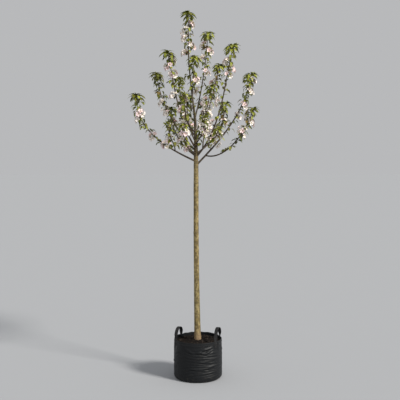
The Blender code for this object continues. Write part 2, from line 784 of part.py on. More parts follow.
def build():
    clear_scene()
    fabric = finish("woven bag fabric", (0.012, 0.012, 0.013), 0.55)
    webbing = finish("black webbing", (0.010, 0.010, 0.011), 0.70)
    compost = finish("compost", (0.030, 0.020, 0.013), 0.95)
    trunk_bark = finish("trunk bark", (0.260, 0.175, 0.085), 0.75)
    bough_bark = finish("bough bark", (0.070, 0.038, 0.022), 0.70)
    twig_bark = finish("twig bark", (0.055, 0.030, 0.018), 0.70)
    green = finish("young leaf", (0.180, 0.190, 0.035), 0.50)
    petal = finish("petal", (0.900, 0.800, 0.780), 0.60)

    make_bag(fabric)
    make_soil(compost)
    for name, (start, end, loop_rise) in HANDLES.items():
        make_handle(name, start, end, loop_rise, webbing)

    trunk = trunk_tube("trunk", trunk_bark)
    smooth(trunk)
    for limb in LIMBS:
        PATHS[limb.name] = limb_path(limb)
    for limb in LIMBS:
        make_bough(limb, bough_bark)

    bare = [(PATHS["trunk"], TRUNK[4][3])]
    stems = {"leader": leader_path()}
    for limb in LIMBS:
        path = PATHS[limb.name]
        split = path.length * limb.bare
        bare.append((Path(stretch(path, 0.0, split, BOUGH_STEP)[1]), limb.girth))
        stems[limb.name] = Path(stretch(path, split, path.length, STEM_STEP)[1])

    looks = (twig_bark, green, petal)
    for number, limb in enumerate(LIMBS):
        path = PATHS[limb.name]
        others = [line for name, line in stems.items() if name != limb.name]
        make_mass(
            "foliage_" + limb.name, path, path.length * limb.bare,
            lambda share, limb=limb: limb_radius(limb, share),
            limb.blossom, 101 + number, bare, others, looks)
    others = [line for name, line in stems.items() if name != "leader"]
    top_radius = TRUNK[-1][3]
    make_mass(
        "foliage_leader", stems["leader"], 0.0,
        lambda share: top_radius + (LIMB_TIP_RADIUS - top_radius) * share,
        LEADER_BLOSSOM, 100, bare, others, looks)


build()
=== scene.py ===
# %% [markdown]
# # A young apple tree in blossom, in a soft bag pot
#
# This lesson dresses a small standard apple tree. Its solids come first, as a fixed
# frame that is never moved: a bag pot, compost, a trunk, boughs, and a rough mass of
# foliage at the end of each bough. Every step replaces one of them with a finished
# surface in the same place. Sizes are metres, +Z is up, +X is to the right and -Y is
# to the front.

import json
import math
import random
from collections import namedtuple

import bpy
import numpy as np
from mathutils import Matrix, Vector, noise

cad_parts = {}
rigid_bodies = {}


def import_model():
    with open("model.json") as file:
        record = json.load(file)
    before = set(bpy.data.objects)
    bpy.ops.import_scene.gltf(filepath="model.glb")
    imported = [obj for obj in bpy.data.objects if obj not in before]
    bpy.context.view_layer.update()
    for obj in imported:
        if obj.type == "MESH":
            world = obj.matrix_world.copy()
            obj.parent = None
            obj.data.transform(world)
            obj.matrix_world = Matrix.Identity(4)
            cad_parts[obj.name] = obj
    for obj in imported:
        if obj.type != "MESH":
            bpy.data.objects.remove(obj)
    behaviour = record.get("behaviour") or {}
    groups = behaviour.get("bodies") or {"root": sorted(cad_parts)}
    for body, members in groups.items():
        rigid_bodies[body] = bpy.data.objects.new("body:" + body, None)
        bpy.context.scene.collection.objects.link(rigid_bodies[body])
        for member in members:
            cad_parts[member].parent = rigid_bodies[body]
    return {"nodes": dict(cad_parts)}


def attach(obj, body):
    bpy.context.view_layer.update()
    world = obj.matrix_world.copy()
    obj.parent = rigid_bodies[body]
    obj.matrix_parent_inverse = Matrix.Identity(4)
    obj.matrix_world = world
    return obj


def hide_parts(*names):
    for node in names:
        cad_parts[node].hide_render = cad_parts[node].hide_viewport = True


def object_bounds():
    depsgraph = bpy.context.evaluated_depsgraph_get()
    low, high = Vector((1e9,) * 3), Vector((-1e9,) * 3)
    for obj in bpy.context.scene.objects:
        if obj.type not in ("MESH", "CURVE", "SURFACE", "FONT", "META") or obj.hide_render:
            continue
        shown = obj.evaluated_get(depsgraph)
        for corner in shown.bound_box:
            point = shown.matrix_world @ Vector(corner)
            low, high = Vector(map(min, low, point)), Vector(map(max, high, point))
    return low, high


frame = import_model()
cad_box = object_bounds()
BOUGH_NODES = [name for name in frame["nodes"] if name.startswith("bough_")]
FOLIAGE_NODES = [name for name in frame["nodes"] if name.startswith("foliage_")]
print("boughs", len(BOUGH_NODES), "masses of foliage", len(FOLIAGE_NODES))

# %% [markdown]
# ## The rule that the tree grows by
#
# A real tree is drawn by its own habit: where each limb leaves, how steeply it starts
# and how far it reaches. The table holds those driving sizes, the same ones that the
# solids were made from. Each limb is then one cubic curve, so whatever grows from it
# lands on the solids without any fitting.

# %% Driving sizes of the tree
GAP = 0.0003
SOIL_LEVEL = 0.272

# Trunk stations: height, sideways x and y, radius
TRUNK = (
    (SOIL_LEVEL + GAP, -0.003, 0.000, 0.0270),
    (0.330, -0.004, 0.000, 0.0242),
    (0.560, -0.008, 0.003, 0.0212),
    (1.000, -0.013, -0.003, 0.0188),
    (1.510, -0.014, 0.002, 0.0176),
    (1.660, -0.015, 0.000, 0.0138),
    (1.880, -0.022, -0.003, 0.0100),
    (2.020, -0.038, 0.000, 0.0066),
    (2.200, -0.058, 0.003, 0.0052),
    (2.325, -0.068, 0.001, 0.0045),
)
TRUNK_STEP = 0.085

# leaves is a height on the trunk, or a share of the way along another limb. heading
# is the compass way to the tip, 0 at +X and 90 at +Y. bow turns the start to one side
# and the end to the other. bare is the share with no foliage, and blossom is a row of
# (share, heading) clusters.
Limb = namedtuple("Limb", "name parent leaves heading reach rise start end bow girth bare blossom")

LIMBS = (
    Limb("left_low", "trunk", 1.577, -173.2, 0.425, 0.446, 22.8, 93.4, 8.4, 0.0068, 0.33,
         ((0.37, 235), (0.55, 215), (0.72, 200), (0.76, -75))),
    Limb("left_low_side", "left_low", 0.26, -103.1, 0.190, 0.165, 33.7, 77.1, 15.1, 0.0046, 0.22,
         ((0.45, 160),)),
    Limb("right_low", "trunk", 1.547, 14.0, 0.413, 0.646, 45.8, 78.8, -1.3, 0.0072, 0.18,
         ((0.24, -60), (0.56, 20), (0.68, -30), (0.84, -20), (0.95, 0))),
    Limb("right_low_side", "right_low", 0.13, -31.7, 0.380, 0.295, -13.3, 69.9, -8.2, 0.0054, 0.30,
         ((0.60, -10), (0.80, -10), (0.86, 170), (0.90, 250))),
    Limb("right_mid", "trunk", 1.607, -25.0, 0.284, 0.756, 42.1, 77.0, -8.2, 0.0068, 0.19,
         ((0.23, -90), (0.35, 180), (0.55, 190), (0.75, -60), (0.78, 20), (0.90, 200))),
    Limb("right_mid_side", "right_mid", 0.15, -67.5, 0.222, 0.090, 8.8, 56.1, -1.2, 0.0046, 0.30,
         ((0.70, 40),)),
    Limb("right_inner", "right_mid", 0.10, 65.3, 0.308, 0.615, 39.4, 70.5, 22.5, 0.0048, 0.20,
         ((0.30, 0), (0.52, 180), (0.66, 60), (0.80, 120))),
    Limb("inner_right", "trunk", 1.749, -65.9, 0.263, 0.320, 10.1, 66.0, -4.1, 0.0056, 0.26,
         ((0.40, -80), (0.52, 20), (0.66, -60), (0.76, 190))),
    Limb("left_tall", "trunk", 1.671, -136.7, 0.262, 0.633, 40.9, 76.2, 8.5, 0.0066, 0.20,
         ((0.30, 220), (0.42, -60), (0.62, 200), (0.80, -60), (0.84, 210), (0.90, 30))),
    Limb("left_outer", "trunk", 1.652, 143.3, 0.368, 0.563, 32.7, 81.0, -16.4, 0.0060, 0.24,
         ((0.30, 90), (0.56, 210), (0.62, 130), (0.70, 190))),
    Limb("left_inner", "trunk", 1.759, 115.4, 0.310, 0.434, 20.9, 73.5, -2.2, 0.0056, 0.24,
         ((0.40, 70), (0.60, 150), (0.75, 20))),
    Limb("left_front", "trunk", 1.793, -106.4, 0.271, 0.227, 7.5, 67.9, -11.6, 0.0052, 0.24,
         ((0.34, 200), (0.66, 180))),
    Limb("front_left", "trunk", 1.641, -105.4, 0.342, 0.163, 0.1, 53.1, -8.4, 0.0056, 0.28,
         ((0.36, 210), (0.90, -60), (0.82, 210))),
    Limb("right_upper", "trunk", 1.883, 52.0, 0.152, 0.611, 58.0, 85.5, 16.5, 0.0052, 0.16,
         ((0.36, 180), (0.55, -30), (0.72, 190), (0.82, -20), (0.86, 190))),
    Limb("top_front", "trunk", 2.063, -78.8, 0.082, 0.224, -8.2, 61.1, -3.9, 0.0036, 0.18,
         ((0.40, -20),)),
    Limb("back_right", "trunk", 1.741, 81.1, 0.344, 0.283, 0.3, 78.3, -19.9, 0.0056, 0.26,
         ((0.40, 30), (0.62, 140), (0.80, 60))),
    Limb("front_right", "trunk", 1.703, -76.6, 0.267, 0.159, 18.4, 65.4, 2.9, 0.0052, 0.26,
         ((0.50, -20), (0.78, -110))),
    Limb("back_left", "trunk", 1.614, 118.1, 0.408, 0.351, 18.2, 86.3, -1.5, 0.0064, 0.30,
         ((0.42, 160), (0.60, 60), (0.78, 180), (0.88, 90))),
    Limb("back_mid", "trunk", 1.713, 101.0, 0.377, 0.360, 19.8, 85.7, -0.2, 0.0056, 0.26,
         ((0.44, 20), (0.66, 150), (0.84, 60))),
    Limb("back_low", "trunk", 1.632, 60.0, 0.450, 0.380, 16.0, 84.0, 6.0, 0.0062, 0.32,
         ((0.44, 20), (0.60, 110), (0.80, 10), (0.90, 120))),
)
CURVE_HOLD = 0.36
CURVE_STEPS = 48
LIMB_TIP_RADIUS = 0.0024
LIMB_TAPER = 0.85
COLLAR_SWELL = 0.35
COLLAR_LENGTH = 0.016
LEADER_RISE = 0.287
LEADER_SWAY = 0.004
LEADER_LEAN = 0.002
LEADER_STEPS = 12
LEADER_BLOSSOM = ((0.06, 200), (0.16, -20), (0.24, 195), (0.50, 190), (0.62, 10), (0.66, -80))


# %% Lines and directions
def compass(heading, pitch=0.0):
    """A unit vector by heading and pitch in radians."""
    level = math.cos(pitch)
    return Vector((level * math.cos(heading), level * math.sin(heading), math.sin(pitch)))


class Path:
    """A line of points that can be asked for a place and a heading by distance."""

    def __init__(self, points):
        self.points = [Vector(p) for p in points]
        self.marks = [0.0]
        for a, b in zip(self.points, self.points[1:]):
            self.marks.append(self.marks[-1] + (b - a).length)
        self.length = self.marks[-1]

    def place(self, distance):
        """The point at a distance along the line."""
        i = 0
        while i < len(self.points) - 2 and distance > self.marks[i + 1]:
            i += 1
        share = (distance - self.marks[i]) / (self.marks[i + 1] - self.marks[i])
        return self.points[i].lerp(self.points[i + 1], share)

    def heading(self, distance, reach=0.010):
        """The way the line runs at a distance, taken over a short reach."""
        ahead = self.place(min(distance + reach, self.length))
        behind = self.place(max(distance - reach, 0.0))
        return (ahead - behind).normalized()


def through(stations, step):
    """A smooth line through stations: a height first, then values that follow it."""
    rows = []
    last = len(stations) - 1
    for i in range(last):
        before = stations[max(i - 1, 0)]
        a = stations[i]
        b = stations[i + 1]
        after = stations[min(i + 2, last)]
        rise = b[0] - a[0]
        count = max(1, round(rise / step))
        for k in range(count + (i == last - 1)):
            t = k / count
            row = [a[0] + rise * t]
            for j in range(1, len(a)):
                slope_a = (b[j] - before[j]) / (b[0] - before[0]) * rise
                slope_b = (after[j] - a[j]) / (after[0] - a[0]) * rise
                row.append(
                    (2 * t**3 - 3 * t**2 + 1) * a[j] + (t**3 - 2 * t**2 + t) * slope_a
                    + (3 * t**2 - 2 * t**3) * b[j] + (t**3 - t**2) * slope_b)
            rows.append(row)
    return rows


TRUNK_ROWS = through(TRUNK, TRUNK_STEP)
PATHS = {"trunk": Path([(row[1], row[2], row[0]) for row in TRUNK_ROWS])}


def trunk_place(height):
    """The trunk's middle at a height, and its radius there."""
    for low, high in zip(TRUNK_ROWS, TRUNK_ROWS[1:]):
        if height <= high[0]:
            share = (height - low[0]) / (high[0] - low[0])
            row = [a + (b - a) * share for a, b in zip(low, high)]
            return Vector((row[1], row[2], row[0])), row[3]
    return PATHS["trunk"].points[-1], TRUNK_ROWS[-1][3]


def limb_path(limb):
    """The cubic curve of a limb, as a fine line."""
    if limb.parent == "trunk":
        start = trunk_place(limb.leaves)[0]
    else:
        parent = PATHS[limb.parent]
        start = parent.place(parent.length * limb.leaves)
    heading = math.radians(limb.heading)
    bow = math.radians(limb.bow)
    tip = start + compass(heading) * limb.reach + Vector((0.0, 0.0, limb.rise))
    hold = (tip - start).length * CURVE_HOLD
    first = start + compass(heading + bow, math.radians(limb.start)) * hold
    second = tip - compass(heading - bow, math.radians(limb.end)) * hold
    points = []
    for i in range(CURVE_STEPS + 1):
        t = i / CURVE_STEPS
        u = 1.0 - t
        points.append(start * u**3 + first * (3 * u * u * t) + second * (3 * u * t * t) + tip * t**3)
    return Path(points)


def leader_path():
    """The leader goes on from the trunk's top, straight up."""
    foot = PATHS["trunk"].points[-1]
    points = []
    for k in range(LEADER_STEPS + 1):
        share = k / LEADER_STEPS
        sway = LEADER_SWAY * math.sin(math.pi * share)
        points.append(foot + Vector((-LEADER_LEAN * share, sway, LEADER_RISE * share)))
    return Path(points)


def limb_radius(limb, share):
    """A limb's plain taper, by the share of the way to its tip."""
    return LIMB_TIP_RADIUS + (limb.girth - LIMB_TIP_RADIUS) * max(0.0, 1.0 - share) ** LIMB_TAPER


def leader_radius(share):
    return TRUNK[-1][3] + (LIMB_TIP_RADIUS - TRUNK[-1][3]) * share


for limb in LIMBS:
    PATHS[limb.name] = limb_path(limb)
PATHS["leader"] = leader_path()
print("lines", len(PATHS), "highest point", round(PATHS["leader"].points[-1].z, 3))

# %% [markdown]
# ## Node trees as Python expressions
#
# A material is a graph, and so is a Geometry Nodes pattern, and long graphs are hard
# to read as links. One small class wraps a socket and overloads the operators, so a
# mask is written the way it would be on paper. Every other node comes from one method.
# Numbers alone are still worked out in Python.


# %% The expression classes
class Value:
    """One output socket that can be used in sums."""

    def __init__(self, sheet, socket):
        self.sheet = sheet
        self.socket = socket

    def __add__(self, other):
        return self.sheet.maths("ADD", self, other)

    def __radd__(self, other):
        return self.sheet.maths("ADD", other, self)

    def __sub__(self, other):
        return self.sheet.maths("SUBTRACT", self, other)

    def __rsub__(self, other):
        return self.sheet.maths("SUBTRACT", other, self)

    def __mul__(self, other):
        return self.sheet.maths("MULTIPLY", self, other)

    def __rmul__(self, other):
        return self.sheet.maths("MULTIPLY", other, self)

    def __abs__(self):
        return self.sheet.maths("ABSOLUTE", self)


class Sheet:
    """A node tree that is written as expressions."""

    def __init__(self, tree):
        self.tree = tree

    def node(self, kind, settings=None, **inputs):
        """Any node: its type, its settings, then values or links by socket name or number."""
        made = self.tree.nodes.new(kind)
        for key, setting in (settings or {}).items():
            setattr(made, key, setting)
        for key, value in inputs.items():
            name = int(key[1:]) if key[0] == "_" else key.replace("_", " ")
            self.feed(made.inputs[name], value)
        return made

    def feed(self, socket, value):
        if isinstance(value, Value):
            self.tree.links.new(value.socket, socket)
        else:
            socket.default_value = value

    def out(self, node, name=0):
        return Value(self, node.outputs[name])

    def maths(self, operation, a, b=0.0):
        return self.out(self.node("ShaderNodeMath", {"operation": operation}, _0=a, _1=b))


class Paint(Sheet):
    """A material built round one Principled shader."""

    def __init__(self, name, roughness=0.6):
        self.material = bpy.data.materials.new(name)
        self.material.use_nodes = True
        super().__init__(self.material.node_tree)
        self.shader = self.tree.nodes["Principled BSDF"]
        self.rough(roughness)

    def colour(self, value):
        self.feed(self.shader.inputs["Base Color"], value)

    def rough(self, value):
        self.feed(self.shader.inputs["Roughness"], value)

    def blend(self, share, a, b):
        """A mix of two colours."""
        a = (*a, 1.0) if isinstance(a, tuple) else a
        b = (*b, 1.0) if isinstance(b, tuple) else b
        return self.out(self.node("ShaderNodeMix", {"data_type": "RGBA"}, _0=share, _6=a, _7=b), 2)

    def place(self, scale=(1.0, 1.0, 1.0)):
        """Object coordinates, stretched."""
        where = self.out(self.node("ShaderNodeTexCoord"), "Object")
        return self.out(self.node("ShaderNodeMapping", None, Vector=where, Scale=scale))

    def uv(self, scale=(1.0, 1.0, 1.0)):
        """The piece's own UV map, stretched."""
        where = self.out(self.node("ShaderNodeUVMap", {"uv_map": "UVMap"}))
        return self.out(self.node("ShaderNodeMapping", None, Vector=where, Scale=scale))

    def axis(self, where, name):
        return self.out(self.node("ShaderNodeSeparateXYZ", None, _0=where), name)

    def noise(self, where, scale, detail=4.0):
        made = self.node("ShaderNodeTexNoise", None, Vector=where, Scale=scale, Detail=detail)
        return self.out(made, "Fac")

    def mark(self, name):
        """A number that the mesh carries at its corners."""
        return self.out(self.node("ShaderNodeAttribute", {"attribute_name": name}), "Fac")

    def band(self, value, low, high):
        """0 under low, 1 over high and smooth between."""
        settings = {"interpolation_type": "SMOOTHSTEP"}
        return self.out(self.node("ShaderNodeMapRange", settings, _0=value, _1=low, _2=high))

    def bump(self, height, distance):
        made = self.node("ShaderNodeBump", None, Height=height, Distance=distance)
        self.feed(self.shader.inputs["Normal"], self.out(made))


class Pattern(Sheet):
    """A Geometry Nodes tree with named inputs, whose result is realized and painted."""

    def __init__(self, name, **inputs):
        super().__init__(bpy.data.node_groups.new(name, "GeometryNodeTree"))
        self.tree.interface.new_socket("Base", in_out="INPUT", socket_type="NodeSocketGeometry")
        for key, kind in inputs.items():
            self.tree.interface.new_socket(key, in_out="INPUT", socket_type="NodeSocket" + kind)
        self.tree.interface.new_socket("Material", in_out="INPUT", socket_type="NodeSocketMaterial")
        self.tree.interface.new_socket("Mesh", in_out="OUTPUT", socket_type="NodeSocketGeometry")
        self.source = self.tree.nodes.new("NodeGroupInput")

    def given(self, name):
        return self.out(self.source, name)

    def carried(self, name, kind):
        """An attribute of the points."""
        made = self.node("GeometryNodeInputNamedAttribute", {"data_type": kind}, Name=name)
        return self.out(made, "Attribute")

    def shapes(self):
        """The shapes of the given collection, one by one."""
        made = self.node(
            "GeometryNodeCollectionInfo", None, Collection=self.given("Shapes"),
            Separate_Children=True, Reset_Children=True)
        return self.out(made)

    def turned(self, euler):
        return self.out(self.node("FunctionNodeEulerToRotation", None, Euler=euler))

    def end(self, geometry):
        """Realizes the instances, paints them and closes the tree."""
        real = self.out(self.node("GeometryNodeRealizeInstances", None, Geometry=geometry))
        painted = self.node(
            "GeometryNodeSetMaterial", None, Geometry=real, Material=self.given("Material"))
        self.feed(self.tree.nodes.new("NodeGroupOutput").inputs[0], self.out(painted))

    def run(self, item, **values):
        """Runs the tree on an object, and leaves the result as its plain mesh."""
        modifier = item.modifiers.new(self.tree.name, "NODES")
        modifier.node_group = self.tree
        for socket in self.tree.interface.items_tree:
            if socket.in_out == "INPUT" and socket.name in values:
                modifier[socket.identifier] = values[socket.name]
        graph = bpy.context.evaluated_depsgraph_get()
        mesh = bpy.data.meshes.new_from_object(item.evaluated_get(graph), depsgraph=graph)
        item.modifiers.clear()
        item.data = mesh
        return item


# %% Meshes
def new_mesh(name, corners, faces=(), edges=()):
    mesh = bpy.data.meshes.new(name)
    mesh.from_pydata([tuple(c) for c in corners], list(edges), list(faces))
    mesh.shade_smooth()
    return mesh


def new_item(mesh, material=None):
    """An object at the origin, whose place is in its mesh."""
    if material:
        mesh.materials.append(material)
    item = bpy.data.objects.new(mesh.name, mesh)
    bpy.context.scene.collection.objects.link(item)
    return item


def tube_faces(total, count):
    """The faces of a closed tube whose corners come ring by ring, count to a ring."""
    faces = [tuple(range(count))[::-1], tuple(range(total - count, total))]
    for a in range(0, total - count, count):
        for k in range(count):
            n = (k + 1) % count
            faces.append((a + k, a + n, a + count + n, a + count + k))
    return faces


def dress(item, slot, *nodes):
    """The piece rides on the tree's one body and stands for its nodes."""
    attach(item, "root")
    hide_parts(*nodes)
    item.data.calc_loop_triangles()
    print(item.name, "triangles", len(item.data.loop_triangles))


def ring_axes(headings):
    """Two directions across a line at each of its points, carried along with no twist."""
    axes = []
    across = None
    for along in headings:
        if across is None:
            across = along.orthogonal()
        across = (across - along * across.dot(along)).normalized()
        axes.append((across, along.cross(across)))
    return axes


class Batch:
    """Corners and faces of many tubes that become one mesh. Corners carry an age."""

    def __init__(self):
        self.corners = []
        self.faces = []
        self.ages = []

    def tube(self, points, headings, radii, sides, ages=(0.0, 1.0), relief=None):
        """Adds a closed tube. relief says how far the skin stands out at a point."""
        base = len(self.corners)
        last = len(points) - 1
        for i, (point, radius, (across, up)) in enumerate(zip(points, radii, ring_axes(headings))):
            for k in range(sides):
                turn = 2 * math.pi * k / sides
                way = across * math.cos(turn) + up * math.sin(turn)
                out = relief(point + way * radius, radius) if relief else 0.0
                self.corners.append(point + way * (radius + out))
            self.ages += [ages[0] + (ages[1] - ages[0]) * i / last] * sides
        foot = len(self.corners)
        self.corners += [points[0], points[-1]]
        self.ages += list(ages)
        top = base + last * sides
        for k in range(sides):
            n = (k + 1) % sides
            self.faces.append((foot, base + n, base + k))
            self.faces.append((foot + 1, top + k, top + n))
            for a in range(base, top, sides):
                self.faces.append((a + k, a + n, a + sides + n, a + sides + k))

    def straight(self, along, places, radii, sides):
        """Adds a tube along one direction, by distances from the origin."""
        self.tube([along * place for place in places], [along] * len(places), radii, sides)

    def mesh(self, name):
        made = new_mesh(name, self.corners, self.faces)
        made.attributes.new("age", "FLOAT", "POINT")
        made.attributes["age"].data.foreach_set("value", self.ages)
        return made


# %% [markdown]
# ## Bark of the trunk
#
# Young apple bark is thin and smooth. It is greenish tan in the light, warmer near the
# soil and darker up in the crown, with pale lenticels that lie across the stem. Where a
# side shoot was pruned away, a ring of pale callus closes over a dark scar. These marks
# are modelled in the mesh, which carries a mask for each kind, and the finish adds only
# what is too fine for it. Patterns read the object's own coordinates, squeezed so that
# they lie across the stem or along it. Boughs and spurs are darker and redder towards
# their young ends, by an age that their meshes carry.


# %% Bark finishes
# Heights over which the bark changes: at the foot, above it, low on the stem, where the
# stem forks and up in the crown
FOOT_HEIGHTS = (0.28, 0.38)
SHIN_HEIGHTS = (0.38, 0.52)
LOW_HEIGHTS = (0.50, 0.85)
FORK_HEIGHTS = (1.42, 1.62)
CROWN_HEIGHTS = (1.62, 1.86)


def make_trunk_bark():
    """Streaks first, then dark blotches and pale patches, the zones by height, and the marks."""
    bark = Paint("apple_bark")
    height = bark.axis(bark.place(), "Z")
    streaks = bark.noise(bark.place((1.0, 1.0, 0.30)), 34.0)
    blotch = bark.noise(bark.place((1.0, 1.0, 0.8)), 62.0, 3.0)
    patches = bark.noise(bark.place((1.0, 1.0, 0.7)), 44.0, 3.0)
    grain = bark.noise(bark.place((0.8, 0.8, 2.6)), 210.0, 6.0)
    flecks = bark.band(bark.noise(bark.place((0.5, 0.5, 3.2)), 150.0, 2.0), 0.62, 0.70)
    foot = 1.0 - bark.band(height, *FOOT_HEIGHTS)
    low = (1.0 - bark.band(height, *LOW_HEIGHTS)) * (0.30 + bark.band(height, *SHIN_HEIGHTS) * 0.70)
    crown = bark.band(height, *FORK_HEIGHTS) * 0.55 + bark.band(height, *CROWN_HEIGHTS) * 0.37
    body = bark.blend(bark.band(streaks, 0.38, 0.62), (0.188, 0.134, 0.040), (0.375, 0.275, 0.094))
    body = bark.blend(low * 0.60, body, (0.088, 0.076, 0.020))
    body = bark.blend(bark.band(blotch, 0.38, 0.60) * 0.72, body, (0.070, 0.050, 0.020))
    body = bark.blend(bark.band(patches, 0.48, 0.66) * 0.55, body, (0.435, 0.350, 0.160))
    body = bark.blend(foot * 0.60, body, (0.300, 0.190, 0.118))
    body = bark.blend(crown, body, (0.050, 0.038, 0.021))
    body = bark.blend(bark.band(grain, 0.50, 0.70) * 0.55, body, (0.058, 0.044, 0.024))
    pale = bark.maths("MAXIMUM", flecks * 0.55, bark.mark("fleck"))
    body = bark.blend(pale * 0.70, body, (0.500, 0.400, 0.205))
    body = bark.blend(bark.mark("scar") * 0.85, body, (0.052, 0.034, 0.020))
    bark.colour(body)
    bark.rough(0.80 - bark.band(streaks, 0.4, 0.7) * 0.16)
    bark.bump(grain * 0.5 + flecks * 0.5, 0.0008)
    return bark.material


def make_shoot_bark():
    """Grey brown on old wood, and a darker red brown with pale dots on last year's."""
    bark = Paint("shoot_bark", 0.58)
    broad = bark.noise(bark.place(), 45.0)
    dots = bark.band(bark.noise(bark.place((1.0, 1.0, 1.5)), 330.0, 2.0), 0.64, 0.70)
    old = bark.blend(bark.band(broad, 0.35, 0.65), (0.040, 0.028, 0.015), (0.098, 0.069, 0.039))
    young = bark.blend(bark.band(broad, 0.35, 0.65), (0.033, 0.018, 0.010), (0.080, 0.044, 0.024))
    body = bark.blend(bark.mark("age"), old, young)
    bark.colour(bark.blend(dots * 0.6, body, (0.175, 0.135, 0.090)))
    bark.bump(broad * 0.4 + dots * 0.6, 0.0005)
    return bark.material


TRUNK_BARK = make_trunk_bark()
SHOOT_BARK = make_shoot_bark()


# %% Marks on the trunk
TRUNK_SIDES = 44
TRUNK_RELIEF_STEP = 0.0017
LENTICELS_A_METRE = 330
LENTICEL_WIDTHS = (0.0016, 0.0034)
LENTICEL_HEIGHT = 0.0013
LENTICEL_RISE = 0.00035
SCAR_WIDTH = 0.0062
SCAR_HEIGHT = 0.0068
SCAR_RISE = 0.0011
# Pruned side shoots on the clear stem, by height and heading
PRUNINGS = (
    (0.47, 205), (0.58, 320), (0.71, 100), (0.83, 250), (0.94, 20), (1.06, 170),
    (1.17, 290), (1.29, 60), (1.36, 215), (1.43, 268), (1.492, 300), (1.52, 140),
)
Mark = namedtuple("Mark", "height heading wide tall rise kind")


def trunk_marks():
    """Lenticels at random and scars at their heights, sorted into thin slices of height."""
    rng = random.Random(7)
    low = TRUNK[0][0]
    high = TRUNK[-1][0]
    marks = []
    for _ in range(round((high - low) * LENTICELS_A_METRE)):
        height = rng.uniform(low, high)
        wide = rng.uniform(*LENTICEL_WIDTHS) * (1.2 - 0.5 * (height - low) / (high - low))
        turn = rng.uniform(0, 2 * math.pi)
        marks.append(Mark(height, turn, wide, LENTICEL_HEIGHT, LENTICEL_RISE, "fleck"))
    for height, heading in PRUNINGS:
        marks.append(Mark(height, math.radians(heading), SCAR_WIDTH, SCAR_HEIGHT, SCAR_RISE, "scar"))
    slices = {}
    for mark in marks:
        first = int((mark.height - 2 * mark.tall) / TRUNK_RELIEF_STEP)
        for k in range(first, int((mark.height + 2 * mark.tall) / TRUNK_RELIEF_STEP) + 2):
            slices.setdefault(k, []).append(mark)
    return slices


def mark_share(mark, turn, height, radius):
    """How near a place is to the middle of a mark: 1 at the middle, 0 at its edge."""
    around = math.remainder(turn - mark.heading, 2 * math.pi) * radius / mark.wide
    up = (height - mark.height) / mark.tall
    return 1.0 - math.sqrt(around * around + up * up)


def marks_at(near, turn, height, radius):
    """How far marks lift the bark at a place, and how strongly each kind tints it."""
    lift = 0.0
    fleck = 0.0
    scar = 0.0
    for mark in near:
        share = mark_share(mark, turn, height, radius)
        if mark.kind == "fleck" and share > 0.0:
            lift += mark.rise * min(1.0, share * 2)
            fleck = max(fleck, min(1.0, share * 2.5))
        elif mark.kind == "scar" and share > -0.8:
            callus = math.exp(-(share / 0.30) ** 2)
            lift += mark.rise * (callus - 1.3 * max(0.0, share))
            fleck = max(fleck, 0.45 * callus)
            scar = max(scar, min(1.0, max(0.0, share - 0.28) * 3))
    return lift, fleck, scar


# %% Trunk
# The rings start a little inside the solid, so that relief stands on its surface
TRUNK_SHARE = 0.985
FORK_SWELL = 0.05
FORK_SWELL_LIMIT = 0.08
FORK_LENGTH = 0.014


def bark_swell(point, radius):
    """Slow unevenness of the wood under the bark, and fine ripples across the stem."""
    broad = noise.noise(Vector((point.x * 22, point.y * 22, point.z * 9)))
    fine = noise.noise(Vector((point.x * 90, point.y * 90, point.z * 190)))
    return radius * (0.035 * broad + 0.010 * fine)


def make_trunk():
    """Fine rings up the trunk, swollen under each fork, with relief and masks at every corner."""
    slices = trunk_marks()
    rows = through(TRUNK, TRUNK_RELIEF_STEP)
    forks = [limb.leaves for limb in LIMBS if limb.parent == "trunk"]
    corners = []
    masks = {"fleck": [], "scar": []}
    for height, x, y, radius in rows:
        swell = sum(FORK_SWELL * math.exp(-((height - fork) / FORK_LENGTH) ** 2) for fork in forks)
        radius *= TRUNK_SHARE + min(swell, FORK_SWELL_LIMIT)
        near = slices.get(int(height / TRUNK_RELIEF_STEP), [])
        for k in range(TRUNK_SIDES):
            turn = 2 * math.pi * k / TRUNK_SIDES
            way = compass(turn)
            middle = Vector((x, y, height))
            lift, fleck, scar = marks_at(near, turn, height, radius)
            out = bark_swell(middle + way * radius, radius) + lift
            corners.append(middle + way * (radius + out))
            masks["fleck"].append(fleck)
            masks["scar"].append(scar)
    mesh = new_mesh("trunk_bark", corners, tube_faces(len(corners), TRUNK_SIDES))
    for kind, values in masks.items():
        mesh.attributes.new(kind, "FLOAT", "POINT")
        mesh.attributes[kind].data.foreach_set("value", values)
    return new_item(mesh, TRUNK_BARK)


dress(make_trunk(), "trunk_bark", "trunk")

# %% [markdown]
# ## Boughs and shoots
#
# Each limb is a tube along its own curve, with a swollen collar at its foot. It bulges a
# little at every bud, and narrow rings show where one year's growth ended and the next
# began. Sweeping a bevel would give an even pipe, so the radius is worked out ring by
# ring.

# %% Where spurs sit
GOLDEN_TURN = math.radians(137.5)
SPUR_SPACING = 0.050
SPUR_START = 0.018
SPUR_END = 0.030
SPUR_LEAN = math.radians(62.0)
CLUSTER_PITCH = math.radians(18.0)

Spur = namedtuple("Spur", "distance way flowering")


def leans(along, turn, angle):
    """A direction at an angle from along, turned round it."""
    side = along.cross(Vector((0.0, 1.0, 0.0))).normalized()
    other = along.cross(side)
    out = side * math.cos(turn) + other * math.sin(turn)
    return along * math.cos(angle) + out * math.sin(angle)


